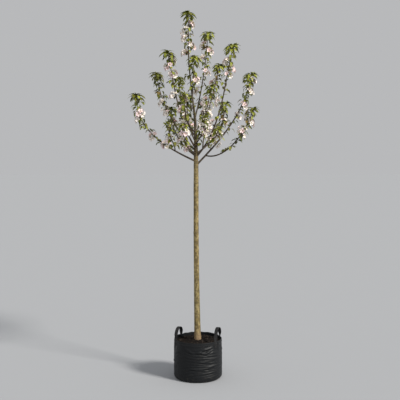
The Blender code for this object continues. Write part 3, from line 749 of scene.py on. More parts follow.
def spurs_on(path, start, blossom, seed):
    """The same spurs as in the solids: spaced along the stem, a golden angle apart."""
    rng = random.Random(seed)
    found = []
    distance = start + SPUR_START
    turn = rng.uniform(0.0, 2 * math.pi)
    while distance < path.length - SPUR_END:
        found.append(Spur(distance, leans(path.heading(distance), turn, SPUR_LEAN), False))
        distance += SPUR_SPACING * rng.uniform(0.85, 1.15)
        turn += GOLDEN_TURN
    for share, heading in blossom:
        free = [i for i, spur in enumerate(found) if not spur.flowering]
        if free:
            nearest = min(free, key=lambda i: abs(found[i].distance - share * path.length))
            way = compass(math.radians(heading), CLUSTER_PITCH)
            found[nearest] = Spur(found[nearest].distance, way, True)
    return found


Shoot = namedtuple("Shoot", "path start spurs limb")
SHOOTS = []
for number, limb in enumerate(LIMBS):
    path = PATHS[limb.name]
    start = path.length * limb.bare
    SHOOTS.append(Shoot(path, start, spurs_on(path, start, limb.blossom, 101 + number), limb))
leader = PATHS["leader"]
SHOOTS.append(Shoot(leader, 0.0, spurs_on(leader, 0.0, LEADER_BLOSSOM, 100), None))
print("spurs", sum(len(shoot.spurs) for shoot in SHOOTS))

# %% Limbs
LIMB_SIDES = 12
LIMB_STEP = 0.005
BUD_SWELL = 0.12
BUD_LENGTH = 0.007
YEAR_RING_SHARES = (0.34, 0.72)
YEAR_RING_LENGTH = 0.008
# Age of the wood from foot to tip, where 1 is last year's
LIMB_AGES = (0.0, 1.0)
LEADER_AGES = (0.65, 1.0)


def shoot_radius(shoot, distance):
    """The plain taper, with a collar, buds and the rings between years."""
    share = distance / shoot.path.length
    radius = limb_radius(shoot.limb, share) if shoot.limb else leader_radius(share)
    if shoot.limb and shoot.limb.parent == "trunk":
        radius *= 1.0 + COLLAR_SWELL * math.exp(-distance / COLLAR_LENGTH)
    for spur in shoot.spurs:
        radius *= 1.0 + BUD_SWELL * math.exp(-((distance - spur.distance) / BUD_LENGTH) ** 2)
    for share in YEAR_RING_SHARES:
        off = abs(distance - share * shoot.path.length)
        if off < YEAR_RING_LENGTH:
            radius *= 1.05 + 0.04 * math.cos(off / YEAR_RING_LENGTH * 4.5 * math.pi)
    return radius


def make_limbs():
    """One tube for every limb and the leader, all in one mesh."""
    batch = Batch()
    for shoot in SHOOTS:
        path = shoot.path
        count = round(path.length / LIMB_STEP)
        distances = [path.length * k / count for k in range(count + 1)]
        points = [path.place(d) for d in distances]
        headings = [path.heading(d) for d in distances]
        radii = [shoot_radius(shoot, d) for d in distances]
        ages = LIMB_AGES if shoot.limb else LEADER_AGES
        batch.tube(points, headings, radii, LIMB_SIDES, ages, bark_swell)
    return new_item(batch.mesh("limbs"), SHOOT_BARK)


dress(make_limbs(), "bough_bark", *BOUGH_NODES)

# %% [markdown]
# ## Where leaves and blossom go
#
# Apple trees carry leaves in small rosettes on knobbly spurs, blossom on other spurs,
# single leaves towards the end of each shoot and a full rosette at its very tip. The
# rule below only lists places: a root, a direction, a roll and a size. Leaves that
# would pass through a limb or leave the tree's own space are skipped. Deep inside the
# crown, where it shades itself, spurs bear fewer leaves and shoots end in smaller
# rosettes. Each spray gets one tint, so the crown is mottled as it is on the real tree.

# %% What is kept clear
SPACE_MARGIN = 0.020
LIMB_CLEARANCE = 0.003
# The thickness that is kept clear round a limb: what tapers away, and what is left at its tip
CLEAR_TAPER = 0.0068
CLEAR_TIP = 0.002


def limb_segments():
    """Every limb as straight stretches with a radius, in arrays that can be asked at once."""
    feet = []
    runs = []
    radii = []
    for name, path in PATHS.items():
        for i, (a, b) in enumerate(zip(path.points, path.points[1:])):
            feet.append(a)
            runs.append(b - a)
            share = path.marks[i] / path.length
            tapered = CLEAR_TAPER * (1.0 - share) + CLEAR_TIP
            radii.append(trunk_place(a.z)[1] if name == "trunk" else tapered)
    return np.array(feet), np.array(runs), np.array(radii)


FEET, RUNS, RADII = limb_segments()
SQUARES = (RUNS * RUNS).sum(axis=1)


def is_clear(point):
    """Whether a point is inside the tree's space and outside its limbs."""
    low, high = cad_box
    if any(point[i] < low[i] - SPACE_MARGIN or point[i] > high[i] + SPACE_MARGIN for i in range(3)):
        return False
    off = np.array(point) - FEET
    share = np.clip((off * RUNS).sum(axis=1) / SQUARES, 0.0, 1.0)
    distance = np.linalg.norm(off - RUNS * share[:, None], axis=1)
    return bool((distance > RADII + LIMB_CLEARANCE).all())


# %% Places for leaves
SPUR_LENGTH = (0.012, 0.020)
# Lengths of leaves on leafy spurs, twiglets, flowering spurs, trunk spurs and trunk twigs,
# of single leaves towards a shoot's end, and of the young ones at its tip
SPUR_LEAVES = (0.034, 0.048)
TWIGLET_LEAVES = (0.026, 0.040)
CLUSTER_LEAVES = (0.028, 0.042)
TRUNK_LEAVES = (0.030, 0.044)
TWIG_LEAVES = (0.030, 0.042)
END_LEAVES = (0.040, 0.052)
YOUNG_LEAVES = (0.030, 0.043)
# A spur's leaves fan out round its tip through an angle in radians. Their pitches are in
# degrees, and every third leaf is raised.
SPUR_FAN = 3.4
SPUR_PITCHES = (-38.0, 8.0)
SPUR_RAISE = 34.0
TINTS = {
    "fresh": (0.278, 0.300, 0.044),
    "grass": (0.197, 0.218, 0.030),
    "olive": (0.158, 0.158, 0.020),
    "deep": (0.078, 0.093, 0.014),
    "bronze": (0.190, 0.135, 0.038),
}
TINT_SHARES = (
    "fresh", "fresh", "grass", "grass", "grass", "olive", "olive", "deep", "deep", "bronze",
)
SPREAD, DROOP, ROSETTE, YOUNG = range(4)
# Where the crown shades itself: distances from its axis, and heights
SHADE_RADII = (0.12, 0.42)
SHADE_HEIGHTS = (2.08, 2.28)
# Lengths of a weak and of a strong shoot
SHOOT_LENGTHS = (0.30, 0.62)

Place = namedtuple("Place", "root along up size kind")
leaf_places = {tint: [] for tint in TINTS}
twig_lines = []


def ease(value, low, high):
    """0 under low, 1 over high and smooth between."""
    share = max(0.0, min(1.0, (value - low) / (high - low)))
    return share * share * (3 - 2 * share)


def light_at(point):
    """0 deep inside the crown, where shoots are poorly lit, and 1 at its edge and top."""
    return max(ease(math.hypot(point.x, point.y), *SHADE_RADII), ease(point.z, *SHADE_HEIGHTS))


def add_leaf(tint, root, along, size, kind, rng, tilt=0.35):
    """A leaf with its upper side up, rolled a little at random."""
    across = along.cross(Vector((0.0, 0.0, 1.0)))
    across = across.normalized() if across.length > 0.05 else Vector((1.0, 0.0, 0.0))
    up = across.cross(along)
    roll = rng.uniform(-tilt, tilt)
    up = (up * math.cos(roll) + across * math.sin(roll)).normalized()
    if is_clear(root + along * size) and is_clear(root + along * (size * 0.6) + up * (size * 0.12)):
        leaf_places[tint].append(Place(root, along, up, size, kind))


def add_twig(root, way, length):
    """A knobbly twig, mostly from the middle of a limb. Gives its tip."""
    tip = root + way * length
    twig_lines.append((root, tip))
    return tip


def add_leaf_spur(tip, way, rng, count, sizes):
    """A small rosette on the end of a spur, mostly on its outer side, and thinner in the shade."""
    tint = rng.choice(TINT_SHARES)
    level = math.atan2(way.y, way.x)
    count = round(count * (0.34 + 0.66 * light_at(tip)))
    for k in range(count):
        side = (k / max(1, count - 1) - 0.5) * SPUR_FAN + rng.uniform(-0.25, 0.25)
        pitch = math.radians(rng.uniform(*SPUR_PITCHES))
        if k % 3 == 2:
            pitch += math.radians(SPUR_RAISE)
        kind = rng.choice((SPREAD, DROOP, DROOP))
        root = tip - way * rng.uniform(0.001, 0.005)
        add_leaf(tint, root, compass(level + side, pitch), rng.uniform(*sizes), kind, rng)


# Tiers of a tip rosette: distance below the tip, leaves, pitches, sizes and kind
ROSETTE_TIERS = (
    (0.040, 5, (-34.0, -10.0), (0.040, 0.050), SPREAD),
    (0.024, 7, (-16.0, 4.0), (0.050, 0.062), ROSETTE),
    (0.012, 8, (0.0, 16.0), (0.058, 0.070), ROSETTE),
    (0.002, 7, (16.0, 38.0), (0.048, 0.062), ROSETTE),
)
ROSETTE_TINTS = ("grass", "grass", "fresh", "fresh", "olive")
ROSETTE_LEAN = 0.8
TIER_TURN = 0.4
OWN_TINT_CHANCE = 0.75
YOUNG_COUNT = 5
YOUNG_TURN = 1.26
YOUNG_LEAN = 0.45
# Length of the soft new shoot beyond a limb's end, and how far from the crown's axis it
# leans outwards fully
SOFT_TIP = 0.014
LEAN_RADIUS = 0.25


def add_tip_rosette(path, rng):
    """Tiers of long leaves that arch out and droop, round a few young upright ones."""
    tint = rng.choice(ROSETTE_TINTS)
    end = path.points[-1]
    vigour = 0.55 + 0.45 * max(ease(path.length, *SHOOT_LENGTHS), ease(end.z, *SHADE_HEIGHTS))
    away = min(1.0, math.hypot(end.x, end.y) / LEAN_RADIUS)
    outward = Vector((end.x, end.y, 0.0)).normalized() * away
    along = (path.heading(path.length) + outward * ROSETTE_LEAN).normalized()
    crown = add_twig(end, along, SOFT_TIP * vigour)
    first = rng.uniform(0.0, 2 * math.pi)
    for below, count, pitches, sizes, kind in ROSETTE_TIERS:
        count = round(count * vigour)
        for k in range(count):
            heading = first + 2 * math.pi * k / count + rng.uniform(-0.22, 0.22)
            pitch = math.radians(rng.uniform(*pitches))
            root = crown - along * (below + rng.uniform(0.0, 0.004))
            mixed = tint if rng.random() < OWN_TINT_CHANCE else rng.choice(TINT_SHARES)
            size = rng.uniform(*sizes) * (0.4 + 0.6 * vigour)
            add_leaf(mixed, root, compass(heading, pitch), size, kind, rng, 0.2)
        first += TIER_TURN
    for k in range(YOUNG_COUNT):
        lean = (along + compass(first + YOUNG_TURN * k) * YOUNG_LEAN).normalized()
        size = rng.uniform(*YOUNG_LEAVES)
        leaf_places["fresh"].append(Place(crown, lean, lean.orthogonal().normalized(), size, YOUNG))


# %% Places for blossom
PETALS = 5
PETAL_SHARES = ("white", "white", "blush")
PETAL_SIZES = (0.0175, 0.0210)
# How far petals rise from flat, in degrees
PETAL_LIFTS = (6.0, 30.0)
STAMENS = 10
STAMEN_SIZES = (0.0062, 0.0084)
STAMEN_LEANS = (0.20, 0.75)
HEART_RADIUS = 0.0012
STALK_LENGTH = (0.020, 0.028)
# How far a stalk leans from the cluster's own way: the flower in the middle and a bud in
# radians, the others in degrees
MIDDLE_LEAN = 0.1
BUD_LEANS = (1.1, 1.4)
STALK_LEANS = (40.0, 68.0)
BUD_DISTANCES = (0.013, 0.018)
BUD_SIZES = (0.8, 1.1)

petal_places = {"white": [], "blush": []}
stamen_places = []
bud_places = []
stalk_lines = []


def add_flower(centre, facing, rng):
    """Five petals and a bunch of stamens round a heart."""
    tint = rng.choice(PETAL_SHARES)
    first = rng.uniform(0.0, 2 * math.pi)
    lift = math.radians(rng.uniform(*PETAL_LIFTS))
    size = rng.uniform(*PETAL_SIZES)
    for k in range(PETALS):
        turn = first + 2 * math.pi * k / PETALS + rng.uniform(-0.07, 0.07)
        out = leans(facing, turn, math.pi / 2)
        raised = lift + rng.uniform(-0.09, 0.09)
        along = out * math.cos(raised) + facing * math.sin(raised)
        up = facing * math.cos(raised) - out * math.sin(raised)
        root = centre + out * HEART_RADIUS
        petal_places[tint].append(
            Place(root, along, up, size * rng.uniform(0.94, 1.05), rng.randint(0, 1)))
    for k in range(STAMENS):
        way = leans(facing, 2 * math.pi * k / STAMENS, rng.uniform(*STAMEN_LEANS))
        up = way.orthogonal().normalized()
        stamen_places.append(Place(centre, way, up, rng.uniform(*STAMEN_SIZES), 0))


def add_cluster(tip, way, rng):
    """Flowers on stalks round one in the middle, with a bud or two and young leaves."""
    out = (way + Vector((0.0, 0.0, 0.35))).normalized()
    count = rng.randint(4, 6)
    first = rng.uniform(0.0, 2 * math.pi)
    for k in range(count + rng.randint(0, 1)):
        lean = MIDDLE_LEAN if k == count else math.radians(rng.uniform(*STALK_LEANS))
        facing = leans(out, first + 2 * math.pi * k / count + rng.uniform(-0.2, 0.2), lean)
        root = tip - way * rng.uniform(0.0, 0.003)
        centre = root + facing * rng.uniform(*STALK_LENGTH)
        if is_clear(centre + facing * 0.004) and is_clear(centre + out * 0.012):
            stalk_lines.append((root, centre))
            nod = Vector((0.0, 0.0, rng.uniform(-0.25, 0.25)))
            add_flower(centre, (facing + nod).normalized(), rng)
    for k in range(rng.choice((0, 1, 1, 2))):
        between = first + 2 * math.pi * (2 * k + 0.5) / count
        facing = leans(out, between, rng.uniform(*BUD_LEANS))
        centre = tip + facing * rng.uniform(*BUD_DISTANCES)
        if is_clear(centre):
            stalk_lines.append((tip, centre))
            up = facing.orthogonal().normalized()
            bud_places.append(Place(centre, facing, up, rng.uniform(*BUD_SIZES), 0))
    add_leaf_spur(tip, way, rng, rng.randint(4, 5), CLUSTER_LEAVES)


# %% Grow every shoot
LEAFY_END = 0.200
END_LEAF_SPACING = 0.0110
END_LEAF_LEAN = math.radians(50.0)
END_LEAF_PITCHES = (-42.0, 0.0)
TWIGLET_LENGTH = (0.008, 0.013)
TWIGLET_LIGHT = 0.25


def grow(shoot, rng):
    """Spurs with leaves or blossom, twiglets between them, single leaves and the rosette."""
    path = shoot.path
    for spur in shoot.spurs:
        tip = add_twig(path.place(spur.distance), spur.way, rng.uniform(*SPUR_LENGTH))
        if spur.flowering:
            add_cluster(tip, spur.way, rng)
        else:
            add_leaf_spur(tip, spur.way, rng, rng.randint(5, 6), SPUR_LEAVES)
    for a, b in zip(shoot.spurs, shoot.spurs[1:]):
        middle = (a.distance + b.distance) / 2
        if light_at(path.place(middle)) < TWIGLET_LIGHT:
            continue
        way = leans(path.heading(middle), rng.uniform(0.0, 2 * math.pi), SPUR_LEAN)
        tip = add_twig(path.place(middle), way, rng.uniform(*TWIGLET_LENGTH))
        add_leaf_spur(tip, way, rng, rng.randint(2, 4), TWIGLET_LEAVES)
    distance = max(shoot.start, path.length - LEAFY_END)
    turn = rng.uniform(0.0, 2 * math.pi)
    while distance < path.length - SPUR_END:
        root = path.place(distance)
        way = leans(path.heading(distance), turn, END_LEAF_LEAN)
        along = compass(math.atan2(way.y, way.x), math.radians(rng.uniform(*END_LEAF_PITCHES)))
        kind = rng.choice((DROOP, ROSETTE))
        tint = rng.choice(TINT_SHARES)
        add_leaf(tint, root + way * 0.002, along, rng.uniform(*END_LEAVES), kind, rng)
        distance += END_LEAF_SPACING * rng.uniform(0.8, 1.2) * (2.3 - 1.3 * light_at(root))
        turn += GOLDEN_TURN
    add_tip_rosette(path, rng)


for number, shoot in enumerate(SHOOTS):
    grow(shoot, random.Random(500 + number))
print("leaves", sum(map(len, leaf_places.values())), "flowers", len(stamen_places) // STAMENS)

# %% [markdown]
# ## Twiglets on the trunk
#
# Up in the crown the trunk bears its own short spurs, and a few slim twigs leave it
# low down. They follow the same rule, on short lines of their own.

# %% Trunk spurs and twigs
# Spurs on the trunk: the lowest height, the highest and the spacing
TRUNK_SPURS = (1.70, 2.29, 0.055)
TRUNK_SPUR_LENGTH = (0.008, 0.016)
# Slim twigs: height, heading, length, pitch, whether they end in blossom
TRUNK_TWIGS = (
    (1.629, 187, 0.052, 24, True),
    (1.655, 176, 0.044, 22, False),
    (1.690, -20, 0.046, 8, False),
    (1.734, -12, 0.060, 30, False),
    (1.780, 200, 0.040, 35, False),
)


def grow_trunk_twigs():
    """Spurs a golden angle apart, then the twigs, which bend upwards halfway."""
    rng = random.Random(31)
    height, top, spacing = TRUNK_SPURS
    turn = 0.6
    while height < top:
        middle, radius = trunk_place(height)
        way = compass(turn, math.radians(25.0))
        tip = add_twig(middle, way, radius + rng.uniform(*TRUNK_SPUR_LENGTH))
        add_leaf_spur(tip, way, rng, rng.randint(4, 6), TRUNK_LEAVES)
        height += spacing * rng.uniform(0.8, 1.2)
        turn += GOLDEN_TURN
    for height, heading, length, pitch, flowering in TRUNK_TWIGS:
        way = compass(math.radians(heading), math.radians(pitch))
        bend = add_twig(trunk_place(height)[0], way, length * 0.6)
        upward = (way + Vector((0.0, 0.0, 0.8))).normalized()
        tip = add_twig(bend - way * 0.001, upward, length * 0.4)
        if flowering:
            add_cluster(tip, way, rng)
        else:
            add_leaf_spur(tip, way, rng, 6, TWIG_LEAVES)


grow_trunk_twigs()

# %% Spurs and stalks
# Radii along a spur from foot to bud, and along a flower stalk from foot to cup
TWIG_RADII = (0.0017, 0.0021, 0.0018, 0.0024, 0.0020, 0.0028, 0.0022, 0.0012)
TWIG_SIDES = 7
TWIG_BEND = 0.0012
TWIG_AGES = (0.4, 0.7)
STALK_RADII = ((0.0, 0.0008), (0.45, 0.0007), (0.78, 0.0008), (0.90, 0.0022), (1.0, 0.0018))
STALK_SIDES = 5


def make_twigs():
    """Spurs are knobbly: narrow at the foot, ringed, and swollen at the bud."""
    batch = Batch()
    rng = random.Random(17)
    last = len(TWIG_RADII) - 1
    for root, tip in twig_lines:
        along = (tip - root).normalized()
        side = along.orthogonal().normalized() * rng.uniform(-TWIG_BEND, TWIG_BEND)
        shares = [k / last for k in range(last + 1)]
        points = [root.lerp(tip, share) + side * math.sin(math.pi * share) for share in shares]
        radii = [radius * rng.uniform(0.9, 1.1) for radius in TWIG_RADII]
        batch.tube(points, [along] * len(points), radii, TWIG_SIDES, TWIG_AGES)
    return new_item(batch.mesh("spur_twigs"), SHOOT_BARK)


def make_stalks():
    """Flower stalks, each of which widens to a small green cup behind its petals."""
    green = Paint("stalk_green", 0.55)
    tone = green.noise(green.place(), 120.0)
    green.colour(green.blend(tone, (0.120, 0.145, 0.045), (0.230, 0.205, 0.085)))
    batch = Batch()
    for root, tip in stalk_lines:
        along = (tip - root).normalized()
        points = [root.lerp(tip, share) for share, _ in STALK_RADII]
        radii = [radius for _, radius in STALK_RADII]
        batch.tube(points, [along] * len(points), radii, STALK_SIDES)
    return new_item(batch.mesh("flower_stalks"), green.material)


dress(make_twigs(), "bough_bark")
dress(make_stalks(), "foliage")

# %% [markdown]
# ## Leaves
#
# Some sixteen hundred leaves come from four small shapes. Each shape is one unit long:
# a stalk, then a folded blade that arches along its midrib, with a toothed edge. A
# Geometry Nodes tree puts a shape on every listed place, turned and scaled by numbers
# that the points carry, and realizes the instances so that a plain mesh is left.


# %% A pattern that deals shapes out
def make_dealing():
    """Points in, with a turn, a size and a kind on each. Out comes a shape on every one."""
    deal = Pattern("deal_out", Shapes="Collection")
    made = deal.node(
        "GeometryNodeInstanceOnPoints", None, Points=deal.given("Base"), Instance=deal.shapes(),
        Pick_Instance=True, Instance_Index=deal.carried("kind", "INT"),
        Rotation=deal.turned(deal.carried("turn", "FLOAT_VECTOR")),
        Scale=deal.carried("size", "FLOAT"))
    deal.end(deal.out(made))
    return deal


DEALING = make_dealing()


def shape_box(meshes):
    """A collection of shapes that a pattern picks from, in the order of their names."""
    box = bpy.data.collections.new(meshes[0].name + "_box")
    for mesh in meshes:
        box.objects.link(bpy.data.objects.new(mesh.name, mesh))
    return box


def deal_out(name, places, shapes, material):
    """One mesh with its shape at every place."""
    mesh = new_mesh(name, [place.root for place in places])
    turns = []
    for place in places:
        axes = Matrix((place.along, place.up.cross(place.along), place.up))
        turns += axes.transposed().to_euler()
    values = {
        "turn": ("FLOAT_VECTOR", "vector", turns),
        "size": ("FLOAT", "value", [place.size for place in places]),
        "kind": ("INT", "value", [place.kind for place in places]),
    }
    for key, (kind, field, numbers) in values.items():
        mesh.attributes.new(key, kind, "POINT")
        mesh.attributes[key].data.foreach_set(field, numbers)
    return DEALING.run(new_item(mesh), Shapes=shapes, Material=material)


def unwrap(mesh, shares):
    """Gives every corner of a shape its own place in the UV map."""
    layer = mesh.uv_layers.new(name="UVMap")
    for loop in mesh.loops:
        layer.data[loop.index].uv = shares[loop.vertex_index]
    return mesh


# %% Leaf shapes
LEAF_STALK = 0.16
LEAF_ROWS = 11
# Half the width of a stalk and of the very tip
STALK_HALF = 0.011
TIP_HALF = 0.0015
# Brings the fullest part of a blade to the width that is asked for
BLADE_SCALE = 2.53
# How far alternate corners of the edge stand in and out, and how fast the edge waves
LEAF_TEETH = (0.95, 1.07)
LEAF_WAVES = 17.0
# Width, arch, fall, fold, wave and twist of each kind of leaf
LEAF_LOOKS = (
    ("leaf_a_spread", 0.48, 0.15, 0.06, 0.42, 0.06, 0.25),
    ("leaf_b_droop", 0.46, 0.22, 0.14, 0.50, 0.08, -0.20),
    ("leaf_c_rosette", 0.40, 0.26, 0.26, 0.46, 0.05, 0.10),
    ("leaf_d_young", 0.25, 0.06, 0.00, 0.90, 0.03, 0.30),
)


def blade_half_width(share, width):
    """Half the blade's width: fullest a little before its middle, and drawn to a point."""
    blade = (share - LEAF_STALK) / (1.0 - LEAF_STALK)
    return width / 2 * BLADE_SCALE * max(blade, 0.0) ** 0.6 * max(1.0 - blade, 0.0) ** 0.75


def leaf_shape(name, width, arch, fall, fold, wave, twist):
    """A leaf along +X: rows of an edge, the midrib and the other edge."""
    corners = []
    stations = [0.0, LEAF_STALK * 0.6, LEAF_STALK]
    stations += [LEAF_STALK + (1.0 - LEAF_STALK) * (k + 1) / LEAF_ROWS for k in range(LEAF_ROWS)]
    for i, t in enumerate(stations):
        half = max(blade_half_width(t, width), STALK_HALF if t < 0.5 else TIP_HALF)
        if LEAF_STALK < t < 0.99:
            half *= LEAF_TEETH[i % 2]
        rise = arch * math.sin(math.pi * t**0.89) - fall * t**2.5
        lift = fold * half * (1.0 - 0.5 * t)
        flutter = wave * half * math.sin(t * LEAF_WAVES)
        level = math.cos(twist * t)
        tip = math.sin(twist * t)
        for side in (-1, 0, 1):
            across = half * side
            above = (lift + flutter * side) * abs(side)
            corners.append((t, across * level - above * tip, rise + above * level + across * tip))
    faces = []
    for a in range(0, len(corners) - 3, 3):
        faces += [(a, a + 3, a + 4, a + 1), (a + 1, a + 4, a + 5, a + 2)]
    shares = [(i % 3 / 2, corner[0]) for i, corner in enumerate(corners)]
    return unwrap(new_mesh(name, corners, faces), shares)


# %% Leaf finish
def make_leaf_finish(name, base):
    """A satin leaf, paler on its midrib and side veins, with soft bulges between them."""
    leaf = Paint("leaf_" + name, 0.46)
    where = leaf.uv()
    off = abs(leaf.axis(where, "X") - 0.5)
    midrib = 1.0 - leaf.band(off, 0.015, 0.075)
    slant = leaf.axis(where, "Y") * 62.0 - off * 26.0
    veins = leaf.band(leaf.maths("SINE", slant), 0.50, 1.00)
    mottle = leaf.noise(leaf.place(), 38.0, 2.0)
    darker = tuple(c * 0.78 for c in base)
    lighter = tuple(c * 1.22 for c in base)
    pale = tuple(c * 1.5 + 0.02 for c in base)
    leaf.shader.inputs["Specular IOR Level"].default_value = 0.25
    body = leaf.blend(leaf.band(mottle, 0.35, 0.65), darker, lighter)
    leaf.colour(leaf.blend(midrib * 0.45 + veins * 0.20, body, pale))
    leaf.bump(veins * -0.4 - midrib * 0.6, 0.0005)
    return leaf.material


LEAF_BOX = shape_box([leaf_shape(*look) for look in LEAF_LOOKS])
for tint, base in TINTS.items():
    leaves = deal_out("leaves_" + tint, leaf_places[tint], LEAF_BOX, make_leaf_finish(tint, base))
    dress(leaves, "foliage", *FOLIAGE_NODES)

# %% [markdown]
# ## Blossom
#
# An apple flower has five cupped petals, each narrow at its foot and notched at its
# tip, white with a flush of pink, round a bunch of pale stamens with yellow ends. Buds
# that haven't opened are a deeper pink. Petals and stamens are dealt out singly, so
# that no two flowers are quite alike.

# %% Petals, stamens and buds
# Along a petal of unit length: how far along, and half its width
PETAL_ROWS = (
    (0.0, 0.05), (0.16, 0.11), (0.36, 0.26), (0.58, 0.36), (0.78, 0.36), (0.92, 0.25), (1.0, 0.11),
)
PETAL_NOTCH = 0.07


def petal_shape(name, rise, hollow):
    """A petal along +X that is cupped towards +Z."""
    corners = []
    shares = []
    columns = (-1.0, -0.5, 0.0, 0.5, 1.0)
    for t, half in PETAL_ROWS:
        for side in columns:
            notch = PETAL_NOTCH * (1.0 - abs(side)) if t == 1.0 else 0.0
            height = rise * math.sin(t * 1.9) + hollow * half * side * side
            corners.append((t - notch, half * side, height))
            shares.append((0.5 + side / 2, t))
    faces = []
    width = len(columns)
    for row in range(len(PETAL_ROWS) - 1):
        for column in range(width - 1):
            a = row * width + column
            faces.append((a, a + width, a + width + 1, a + 1))
    return unwrap(new_mesh(name, corners, faces), shares)


def stamen_shape():
    """A thread with a small head. Its age runs from the thread to the head."""
    batch = Batch()
    batch.straight(Vector((1.0, 0.0, 0.0)), (0.0, 0.82, 0.92, 1.08), (0.035, 0.025, 0.125, 0.06), 4)
    return batch.mesh("stamen_shape")


def bud_shape():
    """A pointed ball of furled petals, along +X."""
    batch = Batch()
    places = (0.0, 0.002, 0.0045, 0.007, 0.0088)
    batch.straight(Vector((1.0, 0.0, 0.0)), places, (0.0016, 0.0038, 0.0046, 0.0036, 0.0014), 8)
    return batch.mesh("bud_shape")


# %% Blossom finishes
def make_petal_finish(name, body, flush):
    """Satin petals, flushed towards their edges."""
    petal = Paint("petal_" + name, 0.55)
    where = petal.uv()
    edge = petal.band(abs(petal.axis(where, "X") - 0.5) + petal.axis(where, "Y") * 0.35, 0.45, 0.85)
    patches = petal.band(petal.noise(petal.place(), 55.0, 2.0), 0.40, 0.62)
    petal.colour(petal.blend(edge * 0.25 + patches * 0.30, body, flush))
    petal.bump(petal.noise(petal.uv((7.0, 1.2, 1.0)), 2.5, 1.0), 0.0002)
    return petal.material


def make_bud_finish():
    """Deep pink, with paler patches."""
    bud = Paint("bud_pink", 0.50)
    tone = bud.noise(bud.place(), 90.0)
    bud.colour(bud.blend(tone, (0.720, 0.230, 0.300), (0.860, 0.520, 0.540)))
    return bud.material


def make_stamen_finish():
    """Greenish white threads with yellow heads."""
    stamen = Paint("stamen_yellow", 0.60)
    head = stamen.band(stamen.mark("age"), 0.40, 0.65)
    stamen.colour(stamen.blend(head, (0.720, 0.740, 0.500), (0.700, 0.560, 0.130)))
    return stamen.material


PETAL_BOX = shape_box([
    petal_shape("petal_a_open", 0.14, 0.55),
    petal_shape("petal_b_cupped", 0.22, 0.80),
])
STAMEN_BOX = shape_box([stamen_shape()])
BUD_BOX = shape_box([bud_shape()])
# Each tint's body and the flush towards its edges
PETAL_TINTS = {
    "white": ((0.890, 0.840, 0.790), (0.880, 0.750, 0.725)),
    "blush": ((0.880, 0.740, 0.730), (0.800, 0.480, 0.520)),
}
for tint, (body, flush) in PETAL_TINTS.items():
    finish = make_petal_finish(tint, body, flush)
    dress(deal_out("petals_" + tint, petal_places[tint], PETAL_BOX, finish), "foliage")
dress(deal_out("stamens", stamen_places, STAMEN_BOX, make_stamen_finish()), "foliage")
dress(deal_out("buds", bud_places, BUD_BOX, make_bud_finish()), "foliage")

# %% [markdown]
# ## The bag pot
#
# The pot is a bag of black woven plastic cloth. Filled with damp compost it stands up
# by itself, and the cloth buckles into level creases under its own slack, most of all
# on the front and the right. It could be simulated, but the creases on the real bag
# are few and clear, so they are modelled: a slow wave whose valleys are sharp and
# whose crests are round, broken up by noise, and a few large folds placed one by one.

# %% Sizes of the bag
BAG_RADIUS = 0.1725
BAG_MOUTH_RADIUS = 0.1680
BAG_HEIGHT = 0.292
BAG_FRONT_DIP = 0.006
BAG_BASE_ROUND = 0.020
BAG_HEM_DEPTH = 0.024
BAG_HEM_FOOT = BAG_HEIGHT - BAG_HEM_DEPTH
BAG_HEM_STEP = 0.0012
BAG_HEM_WALL = 0.0034
BAG_LINING = 0.0060
BAG_SIDES = 30
BAG_COLUMNS = 300
BAG_ROW = 0.0021
CREASE_SPACING = 0.021
CREASE_DEPTH = 0.0042
CREASE_LIMIT = -0.0045
# How far the mouth waves up and down, and how far the filled cloth bulges past the plain
# wall, except behind a strap
RIM_RUFFLE = 0.0032
BAG_SLACK = 0.0050
# One tape of the weave
TAPE_WIDTH = 0.0016

# Large folds: heading, height, half length, half width, tilt in degrees, rise
Fold = namedtuple("Fold", "heading height length width tilt rise")
FOLDS = (
    Fold(-88, 0.222, 0.020, 0.0080, 20, 0.0050),
    Fold(-66, 0.247, 0.045, 0.0090, 14, 0.0055),
    Fold(-62, 0.226, 0.040, 0.0080, 26, 0.0050),
    Fold(-78, 0.212, 0.036, 0.0070, -12, 0.0040),
    Fold(-112, 0.232, 0.030, 0.0090, -30, 0.0035),
    Fold(-50, 0.166, 0.060, 0.0070, 6, 0.0040),
    Fold(-72, 0.148, 0.055, 0.0065, -5, 0.0040),
    Fold(-58, 0.112, 0.060, 0.0075, 8, 0.0045),
    Fold(-92, 0.098, 0.050, 0.0065, -4, 0.0035),
    Fold(-64, 0.070, 0.060, 0.0065, 5, 0.0035),
    Fold(10, 0.200, 0.040, 0.0080, -15, 0.0040),
    Fold(55, 0.150, 0.050, 0.0080, 10, 0.0040),
    Fold(120, 0.190, 0.045, 0.0085, -12, 0.0045),
    Fold(88, 0.232, 0.050, 0.0090, 9, 0.0045),
    Fold(98, 0.102, 0.055, 0.0075, -7, 0.0040),
    Fold(70, 0.062, 0.050, 0.0070, 6, 0.0035),
    Fold(170, 0.120, 0.050, 0.0080, 8, 0.0040),
    Fold(215, 0.210, 0.040, 0.0075, 18, 0.0030),
)
# Where the handles are sewn: headings of the two ends, and the loop's rise
HANDLES = {
    "handle_right": (-42.0, 18.0, 0.080),
    "handle_left": (138.0, 198.0, 0.070),
}


# %% The bag's wall
def bag_radius(height):
    """The plain wall: round at the base, and drawn in a little at the mouth."""
    if height < BAG_BASE_ROUND:
        rest = 1.0 - height / BAG_BASE_ROUND
        return BAG_RADIUS - BAG_BASE_ROUND * (1.0 - math.sqrt(1.0 - rest * rest))
    draw = (height - BAG_BASE_ROUND) / (BAG_HEIGHT - BAG_BASE_ROUND)
    return BAG_RADIUS + (BAG_MOUTH_RADIUS - BAG_RADIUS) * draw**3


def rim_dip(turn):
    """How far the mouth sags at a heading: most at the front."""
    return BAG_FRONT_DIP * 0.5 * (1.0 - math.sin(turn))


def round_noise(turn, height, across, up, seed):
    """Noise that closes on itself round the bag."""
    x = math.cos(turn) * across
    y = math.sin(turn) * across
    return noise.noise(Vector((x, y, height * up + seed)))


